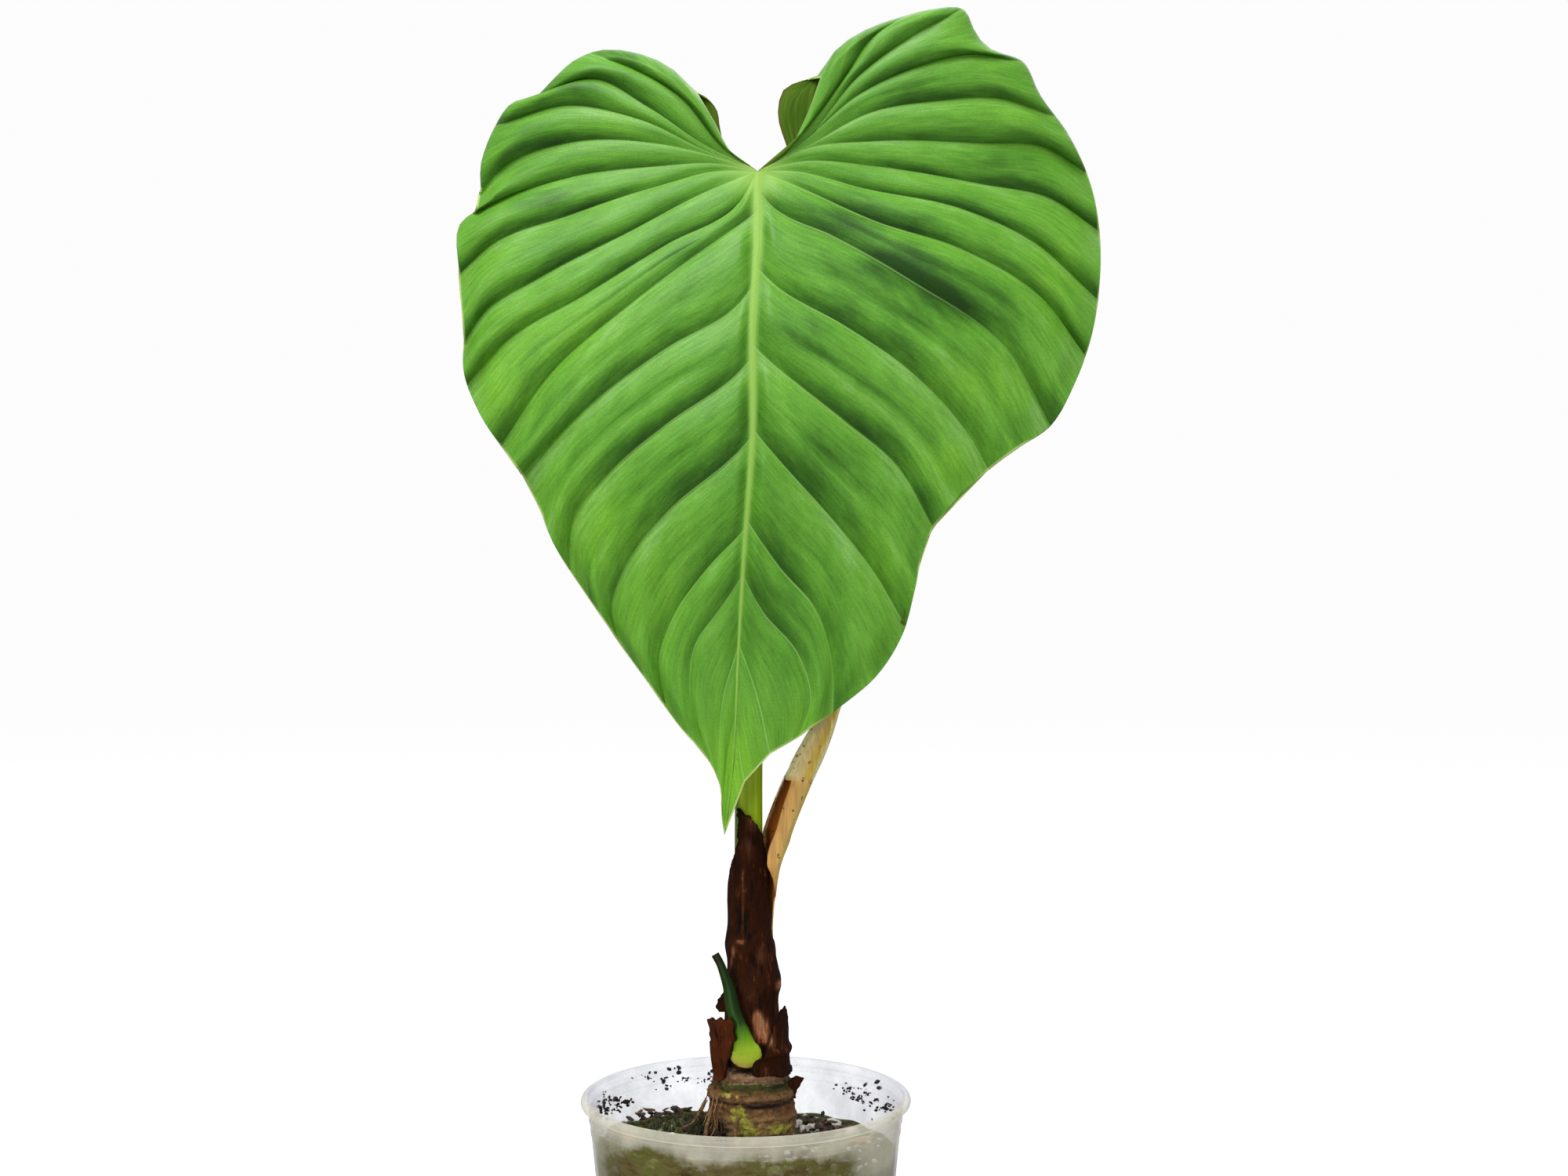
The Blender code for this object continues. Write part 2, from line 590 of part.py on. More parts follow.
def add_top_dressing(mix):
    """Moss, pumice, bark and dry bits, each bedded in a hollow of its own."""
    kinds = ((MOSS, "moss", 0.2), (PUMICE, "pumice", 0.45), (BARK, "bark", 0.4), (DRY_BITS, "dry_bit", 0.6))
    for pieces, finish, lift in kinds:
        for name, (place, half_sizes, turn, seed) in pieces.items():
            add_object(name, lump(place, half_sizes, turn, seed, lift), finish)
            bed = lump(place, half_sizes, turn, seed, lift, GAP)
            cut(mix, add_object(f"{name}_bed", bed, finish))


def add_stub():
    """The cut petiole stub: a green rod that fans out at its foot."""
    middles = smooth_curve([middle for middle, _, _ in STUB_ROUTE], STUB_RINGS)
    at = np.linspace(0, 1, STUB_RINGS)
    knots = np.linspace(0, 1, len(STUB_ROUTE))
    widths = np.interp(at, knots, [width for _, width, _ in STUB_ROUTE])
    depths = np.interp(at, knots, [depth for _, _, depth in STUB_ROUTE])
    add_object("petiole_stub", swept(middles, widths, depths, STUB_SIDES), "petiole")


def in_depth(x, z, y):
    """Places a point of the leaf's drawing at depth y, so that it looks the same from EYE."""
    flat = np.array([LEAF_JUNCTION[0] + x, 0.0, LEAF_JUNCTION[1] + z])
    share = (y - EYE[1]) / -EYE[1]
    return EYE[0] + (flat[0] - EYE[0]) * share, y, EYE[2] + (flat[2] - EYE[2]) * share


def leaf_depth(x, z):
    """The blade hangs forward of its petiole and bows back towards its sides."""
    heights, depths = zip(*MIDRIB_DEPTHS[::-1])
    middle = np.interp(z, heights, depths)
    return middle + LEAF_BOW * (x / LEAF_HALF_WIDTH) ** 2


def nearest_share(curve, point):
    """How far along curve, from 0 to 1, it passes closest to point."""
    return np.argmin(np.linalg.norm(curve - np.asarray(point, float), axis=1)) / (len(curve) - 1)


def rib_at(ribs, q, columns):
    """The rib at a fractional number, blended from its neighbours."""
    low = min(int(q), len(ribs) - 2)
    share = q - low
    return (1 - share) * smooth_curve(ribs[low], columns) + share * smooth_curve(ribs[low + 1], columns)


def half_leaf_rows(ribs, outline, flaps, rib_numbers):
    """Rows of 3D points, one for each rib number, from the midrib out and round the lobes' rolls."""
    curve = smooth_curve(outline, CURVE_SAMPLES)
    ends = [nearest_share(curve, rib[-1]) for rib in ribs]
    pull = np.linspace(0, 1, LEAF_COLUMNS)[:, None] ** 3
    rows = []
    for q in rib_numbers:
        rib = rib_at(ribs, q, LEAF_COLUMNS)
        share = np.interp(q, range(len(ribs)), ends)
        rib = rib + pull * (curve[round(share * (CURVE_SAMPLES - 1))] - rib[-1])
        rolled = np.clip(1 - q / len(flaps), 0, 1) ** 0.5
        radius = ROLL_RADIUS * rolled
        row = []
        for x, z in rib:
            inside = np.clip(1 - np.hypot(x - rib[-1][0], z - rib[-1][1]) / max(radius, 1e-6), 0, 1)
            roll = radius * (1 - np.sqrt(1 - inside**2))
            ruffle = MARGIN_RUFFLE * np.sin(2 * np.pi * q) * pull[len(row), 0] * (1 - rolled)
            row.append(in_depth(x, z, leaf_depth(x, z) + roll + ruffle))
        behind = row[-1][1] + radius
        if rolled > 0:
            flap = rib_at((*flaps, flaps[-1]), q, FLAP_COLUMNS)
            fade = rolled**2 if q > len(flaps) - 1 else 1.0
        for k in range(FLAP_COLUMNS):
            if rolled > 0:
                x, z = rib[-1] + fade * (flap[k] - rib[-1])
                row.append(in_depth(x, z, behind))
            else:
                row.append(row[-1])
        rows.append(row)
    return rows


def add_leaf():
    """The blade: two halves of ribs that meet along the midrib, made one skin."""
    upper = np.arange(0, BASAL_RIBS, 1 / LEAF_ROWS_PER_RIB)
    stations = np.linspace(0, 1, 2 * LEAF_ROWS_PER_RIB * (len(RIBS_RIGHT) - BASAL_RIBS - 1))
    midrib = smooth_curve(MIDRIB, CURVE_SAMPLES)
    halves = []
    for ribs, outline, flaps in (
        (RIBS_RIGHT, OUTLINE_RIGHT, FLAPS_RIGHT),
        (RIBS_LEFT, OUTLINE_LEFT, FLAPS_LEFT),
    ):
        starts = [nearest_share(midrib, rib[0]) for rib in ribs[BASAL_RIBS:]]
        lower = np.interp(stations, starts, range(BASAL_RIBS, len(ribs)))
        halves.append(half_leaf_rows(ribs, outline, flaps, [*upper, *lower]))
    for rows in halves:
        for k, station in enumerate(stations):
            x, z = midrib[round(station * (CURVE_SAMPLES - 1))]
            rows[len(upper) + k][0] = in_depth(x, z, leaf_depth(x, z))
    sheet("leaf_blade", halves, LEAF_THICKNESS, LEAF_MERGE, "blade")


def main():
    for old in list(bpy.data.objects):
        bpy.data.objects.remove(old)
    add_pot()
    mix = add_mix()
    stem_solid("stem")
    add_roots(mix)
    add_top_dressing(mix)
    tube("petiole", smooth_curve(PETIOLE_ROUTE, PETIOLE_RINGS), PETIOLE_RADII, "petiole", PETIOLE_SIDES)
    add_leaf()
    for name, (rows, finish, count, columns) in SHEATHS.items():
        wrapped_strip(name, rows, finish, count, columns)
    add_stub()


main()
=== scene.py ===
"""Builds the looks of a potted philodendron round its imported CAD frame.

The file is laid out as a Blender add-on and run as a script. Shapes are designed in
millimetres on the frame's axes: +X right, +Z up, and the leaf faces -Y.
"""

import json
import math

import bpy
import numpy as np
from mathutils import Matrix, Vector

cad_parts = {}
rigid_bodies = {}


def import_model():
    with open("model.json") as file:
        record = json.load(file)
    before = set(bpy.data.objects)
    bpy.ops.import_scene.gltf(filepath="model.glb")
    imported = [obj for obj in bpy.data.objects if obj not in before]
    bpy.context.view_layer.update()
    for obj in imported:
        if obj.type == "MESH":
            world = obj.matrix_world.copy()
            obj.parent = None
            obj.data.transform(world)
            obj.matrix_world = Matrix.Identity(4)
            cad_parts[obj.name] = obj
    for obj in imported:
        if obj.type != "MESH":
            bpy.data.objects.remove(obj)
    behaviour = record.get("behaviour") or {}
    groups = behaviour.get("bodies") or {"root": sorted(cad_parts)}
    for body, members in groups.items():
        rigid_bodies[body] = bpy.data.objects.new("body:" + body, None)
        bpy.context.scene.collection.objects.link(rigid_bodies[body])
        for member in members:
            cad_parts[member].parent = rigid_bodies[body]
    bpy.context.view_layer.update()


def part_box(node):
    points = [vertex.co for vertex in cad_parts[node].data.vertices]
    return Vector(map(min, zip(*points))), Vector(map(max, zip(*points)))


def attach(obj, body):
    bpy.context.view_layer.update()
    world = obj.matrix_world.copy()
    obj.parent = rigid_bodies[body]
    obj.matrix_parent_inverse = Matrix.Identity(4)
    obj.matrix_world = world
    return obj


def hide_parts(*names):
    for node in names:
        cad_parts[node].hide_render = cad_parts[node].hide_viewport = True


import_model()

bl_info = {
    "name": "Potted Philodendron", "version": (1, 0, 0), "blender": (4, 5, 0),
    "location": "View3D > Sidebar > Philodendron",
    "description": "Models and finishes a young philodendron in a clear nursery pot",
    "category": "Object",
}

MM = 0.001

# ---------------------------------------------------------------- leaf drawing, millimetres

EYE = np.array([15.0, -781.0, 316.5])
LEAF_JUNCTION = (4.6, 481.0)
LEAF_BOW = 16.0
LEAF_HALF_WIDTH = 115.0
TIP = (-13, -262)
MIDRIB = ((0, 0), (0, -25), (-2, -56), (-2, -103), (-5, -146), (-8, -195), (-10, -242), (-13, -262))
MIDRIB_DEPTHS = ((0, -22), (-60, -36), (-130, -42), (-200, -38), (-262, -28))
# Each rib runs from the midrib to the leaf's outline. The first is the margin of the sinus.
RIBS_RIGHT = (
    ((0, 0), (11, 7), (19, 21), (25, 37)), ((0, 0), (18, 16), (35, 38), (47, 54), (60, 61)),
    ((0, 0), (18, 12), (41, 39), (62, 54), (81, 64)),
    ((0, 0), (18, 12), (41, 31), (66, 42), (84, 46), (105, 43)),
    ((0, 0), (20, 10), (44, 23), (72, 28), (97, 29), (119, 22)),
    ((0, 0), (20, 9), (47, 12), (88, 11), (114, 9), (130, -1)),
    ((0, 0), (19, 4), (47, 2), (88, -5), (116, -11), (135, -24)),
    ((0, 0), (13, 0), (43, -7), (81, -15), (109, -28), (134, -51)),
    ((0, 0), (13, -5), (47, -20), (81, -31), (112, -50), (129, -73)),
    ((0, -8), (7, -15), (30, -26), (60, -43), (97, -69), (115, -100)),
    ((-1, -38), (8, -46), (34, -61), (60, -79), (83, -104), (91, -118)),
    ((-2, -69), (8, -78), (33, -98), (55, -117), (69, -141)),
    ((-2, -102), (10, -116), (32, -141), (46, -160), (56, -179)),
    ((-4, -138), (9, -157), (22, -172), (29, -195), (29, -213)),
    ((-6, -160), (2, -174), (16, -191), (21, -208), (17, -223)), ((-7, -187), (0, -208), (5, -230)),
    ((-9, -215), (-7, -230), (-5, -241)), (TIP, TIP),
)
RIBS_LEFT = (
    ((0, 0), (-10, 7), (-18, 21), (-24, 31)), ((0, 0), (-15, 11), (-31, 30), (-50, 41), (-67, 47)),
    ((0, 0), (-20, 10), (-44, 26), (-66, 37), (-87, 31)),
    ((0, 0), (-18, 7), (-48, 21), (-76, 26), (-104, 18)),
    ((0, 0), (-15, 5), (-40, 11), (-76, 11), (-100, 2), (-110, -8)),
    ((0, 0), (-18, 3), (-40, 2), (-76, -3), (-100, -11), (-112, -17)),
    ((0, 0), (-15, 0), (-40, -6), (-76, -18), (-105, -29), (-118, -41)),
    ((0, 0), (-20, -8), (-51, -24), (-86, -42), (-109, -57), (-116, -68)),
    ((0, 0), (-8, -13), (-36, -29), (-67, -48), (-100, -68), (-114, -84)),
    ((0, -16), (-20, -30), (-51, -53), (-81, -79), (-101, -108)),
    ((-1, -45), (-9, -54), (-36, -70), (-68, -94), (-93, -120)),
    ((-2, -74), (-9, -81), (-36, -100), (-59, -120), (-73, -140), (-74, -157)),
    ((-2, -105), (-11, -114), (-35, -134), (-53, -158), (-58, -174), (-55, -186)),
    ((-5, -141), (-21, -158), (-34, -177), (-39, -193), (-36, -212)),
    ((-6, -160), (-15, -173), (-25, -188), (-27, -205), (-20, -232)),
    ((-7, -187), (-13, -205), (-15, -239)), ((-9, -215), (-12, -230), (-14, -250)), (TIP, TIP),
)
OUTLINE_RIGHT = (
    (25, 37), (31, 48), (41, 55), (57, 61), (69, 64), (81, 64), (87, 53), (91, 49), (105, 43),
    (111, 31), (123, 14), (132, -7), (135, -24), (135, -44), (132, -64), (125, -84), (115, -101),
    (103, -109), (91, -118), (77, -131), (66, -147), (62, -165), (57, -183), (47, -199),
    (33, -211), (16, -223), (1, -233), (-6, -242), (-10, -251), TIP,
)
OUTLINE_LEFT = (
    (-24, 31), (-36, 42), (-49, 47), (-61, 48), (-72, 44), (-82, 35), (-87, 30), (-97, 27),
    (-104, 17), (-109, 4), (-111, -15), (-117, -20), (-118, -39), (-116, -65), (-116, -79),
    (-110, -95), (-98, -113), (-89, -126), (-81, -146), (-67, -168), (-48, -195), (-30, -220),
    (-19, -233), (-15, -242), (-14, -256), TIP,
)
# Behind the rolled lobes the blade hangs down again along these, from the first rib on.
FLAPS_RIGHT = (
    ((25, 37), (18, 36), (10, 32), (8, 24), (12, 8)), ((60, 61), (52, 50), (44, 38), (34, 18)),
    ((81, 64), (74, 55), (66, 45), (56, 30)), ((105, 43), (100, 38), (95, 34), (86, 29)),
    ((119, 22), (116, 20), (114, 19), (110, 17)),
)
FLAPS_LEFT = (
    ((-24, 31), (-20, 29), (-16, 24), (-15, 18), (-14, 13)),
    ((-67, 47), (-58, 38), (-50, 30), (-38, 17)), ((-87, 31), (-82, 27), (-76, 23), (-67, 16)),
    ((-104, 18), (-100, 16), (-97, 15), (-92, 13)),
)
BASAL_RIBS = 8
LAST_RIB = len(RIBS_RIGHT) - 1
# Where rows of the blade lie between one rib and the next: close together at the creases.
ROW_SHARES = (0.0, 0.035, 0.12, 0.26, 0.42, 0.58, 0.74, 0.88, 0.965)
BLADE_COLUMNS = 84
FLAP_COLUMNS = 14
# Strips that have a softer crease of their own half way across.
HALF_CREASES_RIGHT = {3: 0.25, 8: 0.3, 9: 0.5, 10: 0.6, 11: 0.5, 12: 0.25, 13: 0.2}
HALF_CREASES_LEFT = {3: 0.25, 8: 0.25, 9: 0.3, 10: 0.55, 11: 0.35, 12: 0.25, 13: 0.2}
# Broad darker areas of painted shade on the quilted blade (below zero) and yellower areas (above zero):
# place, reach and strength.
LEAF_SHADE_AND_TINT_SPOTS = (
    (54, -37, 16, 8, -1.5), (68, -46, 12, 7, -1.0), (-10, -240, 12, 22, 1.0), (38, -19, 26, 8, -1.0),
    (78, -53, 22, 10, -0.9), (22, -62, 16, 14, -0.6), (30, -112, 16, 12, -0.6), (61, -133, 8, 16, -0.6),
    (8, -166, 14, 28, -0.5), (-9, -97, 12, 25, -0.35), (-39, -118, 18, 12, -0.3),
    (-80, -14, 16, 8, -0.6), (-87, 14, 14, 6, -0.7), (-69, 35, 14, 6, -0.6), (56, 35, 20, 8, -0.6),
    (97, 3, 14, 8, -0.6), (-30, -30, 20, 6, -0.4), (90, -84, 20, 10, 0.6), (75, -116, 16, 9, 0.8),
    (-76, -62, 26, 14, 0.6), (-102, -84, 12, 14, 0.8), (-65, -138, 18, 20, 0.7), (21, -220, 14, 8, 0.5),
    (-9, -236, 8, 16, 0.7), (10, -80, 10, 10, 0.3), (-58, 20, 14, 5, 0.4), (118, -40, 10, 16, 0.6),
    (50, -150, 10, 22, 0.4), (100, 22, 14, 6, 0.3), (-40, -170, 12, 20, 0.5), (-104, -30, 12, 14, 0.3),
)
# Rusty areas of the long sheath: the torn window, the lip of the notch and worn streaks.
SHEATH_RUST = (
    (4.6, 148.8, 1.7, 3.0, 1.3), (6.4, 144.0, 2.8, 3.6, 1.7), (7.6, 140.6, 3.0, 2.2, 1.4),
    (13.0, 160.0, 1.4, 2.2, 1.2), (-2.2, 177.9, 1.7, 0.8, 0.9), (-4.8, 174.2, 0.8, 2.4, 0.9),
    (-5.5, 169.5, 0.5, 3.0, 0.9), (3.0, 226.0, 3.0, 4.0, 0.8), (1.0, 215.0, 2.2, 6.0, 0.5),
    (-1.0, 192.0, 0.8, 16.0, 0.35), (6.0, 172.0, 3.0, 4.0, 0.4), (2.5, 157.0, 3.0, 3.0, 0.35),
)
STEM_RED = ((-12.5, 112.0, 3.4, 5.0, 0.6), (16.5, 112.0, 2.4, 5.0, 0.5), (-11.5, 121.0, 2.4, 2.2, 0.5))
STEM_GREEN = (
    (-2.6, 112.0, 2.8, 4.0, 1.2), (1.4, 107.0, 3.0, 3.4, 1.2), (13.0, 106.5, 6.0, 2.4, 0.8),
    (-7.0, 119.4, 3.4, 0.9, 0.8),
)
# Darker areas on the stem's front: the spots at 115.6 and 129 mm are painted shade in a crevice and painted
# shadow under the stub; the other two darken the bark.
STEM_SHADE_AND_DARK = (
    (8.0, 115.6, 9.0, 0.9, 1.2), (2.0, 129.0, 8.0, 0.9, 1.0), (12.0, 122.4, 5.0, 1.3, 0.7),
    (-9.0, 107.0, 4.0, 4.0, 0.7),
)


# ---------------------------------------------------------------- stem and sheaths, millimetres

PETIOLE_ROUTE = (
    (1.5, 2, 131.4), (1.0, 2, 180), (0.8, 3, 230), (2.0, 3, 300), (3.5, -1, 380), (4.8, -9, 450),
    (4.8, -13, 468), (4.6, -18.5, 476.5),
)
PETIOLE_RADII = (6.0, 5.7, 5.4, 5.0, 4.4, 3.8, 3.2, 1.8)
# Height, middle x, middle y, radius, and the angles where the strip starts and ends.
LONG_SHEATH = (
    (129.0, 1.8, 2.0, 12.4, 165, 367), (140.0, 2.2, 2.0, 11.2, 165, 367),
    (148.0, 2.2, 2.0, 10.7, 165, 367), (155.6, 2.3, 2.0, 10.6, 165, 367),
    (159.4, 2.8, 2.0, 11.1, 165, 367), (163.0, 2.9, 2.0, 10.3, 165, 367),
    (170.0, 2.2, 2.0, 9.5, 165, 367), (176.0, 1.3, 2.0, 9.5, 168, 367),
    (182.0, 1.2, 2.0, 8.6, 168, 367), (193.0, 0.9, 2.3, 8.1, 170, 365),
    (204.0, 1.3, 2.6, 7.6, 190, 352), (211.0, 1.3, 2.8, 7.4, 216, 338),
    (217.0, 1.3, 2.8, 7.2, 230, 320), (223.0, 1.2, 2.9, 7.0, 231, 297),
    (229.5, 1.0, 3.0, 6.8, 232, 246),
)
FADING_SHEATH = (
    (132.5, 2.0, 2.0, 10.4, 16, 112), (152.0, 2.0, 2.0, 10.4, 14, 110),
    (165.0, 2.0, 2.0, 10.3, 14, 120), (180.0, 1.8, 2.2, 8.8, 14, 130), (190.0, 1.7, 2.4, 9.2, 10, 140),
    (196.0, 2.2, 2.6, 9.3, -10, 135), (202.0, 4.2, 2.8, 8.2, -38, 130),
    (209.0, 8.2, 3.0, 6.2, -88, 115), (215.0, 11.0, 3.4, 5.8, -105, 140),
    (222.0, 13.2, 4.0, 5.9, -99, 165), (230.0, 16.3, 5.0, 5.9, -107, 172),
    (237.5, 19.5, 6.0, 5.9, -113, 172), (242.5, 21.7, 6.6, 6.0, -156, 160),
    (250.0, 25.2, 7.6, 6.0, -164, 150), (256.0, 28.0, 8.2, 5.5, -162, 150),
    (267.0, 33.0, 10.0, 4.0, -150, 140), (276.0, 38.0, 11.0, 2.6, -120, 110),
    (285.0, 43.0, 12.0, 1.0, -90, 90),
)
TORN_LEFT = (
    (124.0, 2.5, 0.0, 17.2, 203, 222), (127.0, 2.5, 0.0, 16.8, 205, 233),
    (132.0, 2.2, -1.2, 16.7, 204, 238), (138.0, 2.0, -1.8, 16.8, 203, 244),
    (143.0, 1.8, -1.8, 17.4, 207, 252), (147.0, 1.6, -2.0, 18.2, 204, 254),
    (149.8, 1.4, -2.0, 18.0, 215, 250),
)
TORN_RIGHT = (
    (125.8, 2.2, -0.6, 15.9, -40, 2), (127.4, 1.9, -0.9, 15.9, -62, 8),
    (129.8, 0.9, -1.4, 16.2, -84, 12), (132.6, 0.7, -1.5, 16.3, -80, 12),
    (135.4, 0.7, -1.5, 17.2, -69, 14), (137.2, 0.6, -1.5, 16.3, -65, 10),
    (143.0, 0.5, -1.5, 16.0, -55, 6), (148.0, 0.5, -1.5, 15.8, -45, -6),
    (152.0, 0.5, -1.5, 15.8, -33, -20),
)
TORN_BACK = (
    (110.0, 2.5, 0.0, 19.0, 40, 150), (122.0, 2.5, 0.0, 18.6, 44, 146),
    (132.0, 2.5, 0.0, 17.6, 60, 134), (139.0, 2.5, 0.0, 17.0, 84, 112),
)
# Loose black scraps: one left of the long sheath, one right of the stem.
SCRAPS = (
    (
        (149.8, -9.2, 18, 22, 267, 274), (152.0, -9.9, 18, 22, 264.5, 277),
        (154.6, -9.3, 18, 22, 266, 276), (158, -8.4, 18, 22, 269, 273.5),
    ),
    (
        (116.5, 19.0, 14, 20, 267, 270), (120.0, 19.2, 14, 20, 262, 272),
        (123.2, 19.6, 14, 20, 262, 277), (125.6, 19.8, 14, 20, 269, 279),
    ),
)
STEM_AXIS = (2.5, 0.0)
STEM_PROFILE = (
    (70, 5.0), (74, 8.5), (82, 11.0), (92, 13.0), (100, 15.6), (104, 17.0), (109, 17.3),
    (113, 16.6), (116, 17.0), (118.6, 17.4), (120.6, 16.2), (122.6, 15.3), (124.4, 14.6), (126.6, 14.2),
    (127.8, 12.8), (128.8, 9.0), (131.0, 8.0),
)
# Middle, half width and half depth.
STUB_ROUTE = (
    ((-1.2, -14.9, 130.9), 2.0, 0.6), ((-1.0, -15.0, 131.7), 3.9, 0.9),
    ((-0.7, -15.2, 133.2), 5.3, 1.2), ((0.45, -15.3, 136.0), 6.1, 1.4),
    ((-0.3, -15.2, 139.2), 4.5, 1.8), ((-1.1, -15.0, 143.0), 3.3, 2.1),
    ((-2.4, -14.7, 146.8), 2.8, 2.2), ((-3.7, -14.3, 150.0), 2.7, 2.2),
    ((-4.7, -13.9, 153.0), 2.7, 2.2), ((-5.6, -13.5, 157.2), 2.6, 2.1),
    ((-6.5, -13.1, 161.5), 2.3, 2.0), ((-8.1, -12.8, 165.9), 1.8, 1.7),
    ((-9.8, -12.4, 170.4), 1.6, 1.6), ((-11.8, -12.1, 174.0), 1.6, 1.5),
)
SURFACE_ROOTS = (
    (((-16, -8, 116), (-18, -10.5, 112), (-20.5, -13.5, 109), (-24, -16.5, 107.6)), 0.7, 0.4),
    (((-13, -13, 113), (-15, -18, 108), (-15, -24, 105.6), (-12, -31, 104.6)), 0.8, 0.5),
    (((-3, -18.5, 112), (-4, -22, 106), (-2, -27, 102.6), (5, -33, 100.4)), 0.8, 0.5),
)

# ---------------------------------------------------------------- pot and mix, millimetres

COLLAR_FOOT = 103.5
COLLAR_STEP = 0.3
BEAD_HEIGHTS = (108.0, 111.4)
DRAIN_HOLES = 8
DRAIN_RADIUS = 4.5
DRAIN_CIRCLE = 40.0
LIP_RADIUS = 65.0
BASE_RADIUS = 50.5
WALL = 0.9
WALL_LEAN = 0.1
MIX_LEVEL = 95.0
LUMP_HEIGHT = 0.9
LUMP_RATES = (0.21, 0.24)
LUMP_STARTS = (1.0, -0.6)
# Where the two raised beads catch the light, in metres and as a grey.
BEAD_LINES = (
    (0.1021, 0.0), (0.1027, 0.8), (0.1032, 0.0), (0.1075, 0.0), (0.108, 1.0), (0.1085, 0.0),
    (0.1109, 0.0), (0.1114, 1.0), (0.1119, 0.0),
)
# How much algae lines the wall from its foot up, in metres and as a grey.
FILM_HEIGHTS = ((0.088, 0.0), (0.1, 0.9), (0.1115, 0.85), (0.1135, 0.4), (0.1155, 0.1), (0.1175, 0.0))
MOUND_AT = (-27.0, -4.0)
MOUND_HEIGHT = 11.0
MOUND_SPREAD = 18.0

# Dirt on the inside of the wall: angle, height, the spread of each and how many specks.
WALL_DIRT = (
    (161, 107, 5, 2.5, 50), (150, 104, 4, 2, 24), (125, 109, 3, 1.5, 13), (133, 113, 3, 0.6, 8),
    (119, 113.5, 1.5, 1, 5), (116, 109, 1.5, 0.8, 8), (107, 108.5, 2, 1.2, 12), (48, 107, 3, 1.5, 16),
    (40, 105.5, 4, 2, 24), (28, 106, 6, 3, 24), (15, 106, 5, 2.5, 16),
)

# ---------------------------------------------------------------- numbers and curves


def linear(text):
    """An sRGB hex colour as the linear RGBA that Blender's sockets take."""
    channels = [int(text[i : i + 2], 16) / 255 for i in (1, 3, 5)]
    return (*(c / 12.92 if c <= 0.04045 else ((c + 0.055) / 1.055) ** 2.4 for c in channels), 1.0)


def curve_points(points, shares):
    """Points at shares, 0 to 1, along a smooth curve through points of any dimension."""
    points = np.asarray(points, float)
    gaps = np.linalg.norm(np.diff(points, axis=0), axis=1)
    if gaps.sum() < 1e-6:
        return np.repeat(points[:1], len(shares), axis=0)
    knots = np.concatenate([[0], np.cumsum(gaps)])
    slopes = np.gradient(points, knots, axis=0)
    at = np.asarray(shares) * knots[-1]
    span = np.clip(np.searchsorted(knots, at, side="right") - 1, 0, len(gaps) - 1)
    width = gaps[span][:, None]
    t = (at - knots[span])[:, None] / width
    return blend_ends(points[span], points[span + 1], slopes[span] * width, slopes[span + 1] * width, t)


def blend_ends(low, high, low_slope, high_slope, t):
    """The cubic between two ends with these slopes."""
    rise = low * (2 * t**3 - 3 * t**2 + 1) + high * (3 * t**2 - 2 * t**3)
    return rise + low_slope * (t**3 - 2 * t**2 + t) + high_slope * (t**3 - t**2)


def smooth_step(value, start, end):
    """0 before start, 1 after end, and smooth between."""
    t = np.clip((value - start) / (end - start), 0, 1)
    return t * t * (3 - 2 * t)


def wander(x, y, seed, waves=7):
    """A smooth uneven field of about -1 to 1 with features about one unit across."""
    random = np.random.default_rng(seed)
    total = np.zeros(np.broadcast(x, y).shape)
    for _ in range(waves):
        turn = random.uniform(0, 2 * np.pi)
        pace = random.uniform(0.6, 2.2)
        phase = random.uniform(0, 2 * np.pi)
        total += np.sin(pace * (np.cos(turn) * x + np.sin(turn) * y) + phase)
    return total / waves**0.5 / 1.2


def spots(x, z, table):
    """The sum of soft-edged spots, each with a place, a reach and a strength."""
    total = np.zeros(np.broadcast(x, z).shape)
    for at_x, at_z, reach_x, reach_z, strength in table:
        total += strength * np.exp(-(((x - at_x) / reach_x) ** 2) - ((z - at_z) / reach_z) ** 2)
    return total


def mix_height(x, y):
    """The mix's surface: nearly level, with a mossy mound at the front left."""
    mound = ((x - MOUND_AT[0]) ** 2 + (y - MOUND_AT[1]) ** 2) / (2 * MOUND_SPREAD**2)
    across, back = (rate * c + start for rate, c, start in zip(LUMP_RATES, (x, y), LUMP_STARTS))
    return MIX_LEVEL + MOUND_HEIGHT * np.exp(-mound) + LUMP_HEIGHT * np.sin(across) * np.cos(back)


def wall_radius(z):
    """The pot's outer radius at a height below the collar."""
    return BASE_RADIUS + WALL_LEAN * z


# ---------------------------------------------------------------- modelling helpers


def primitive(kind, name, **settings):
    """Adds a primitive, alone in the selection, under its own name."""
    bpy.ops.object.select_all(action="DESELECT")
    getattr(bpy.ops.mesh, f"primitive_{kind}_add")(**settings)
    piece = bpy.context.object
    piece.name = name
    piece.data.name = name
    return piece


def new_piece(name, points, faces, **facts):
    """A piece from points in millimetres and the faces between them, with its facts."""
    mesh = bpy.data.meshes.new(name)
    mesh.from_pydata(np.asarray(points) * MM, [], faces)
    piece = bpy.data.objects.new(name, mesh)
    bpy.context.scene.collection.objects.link(piece)
    for fact, values in facts.items():
        set_fact(piece, fact, values)
    return piece


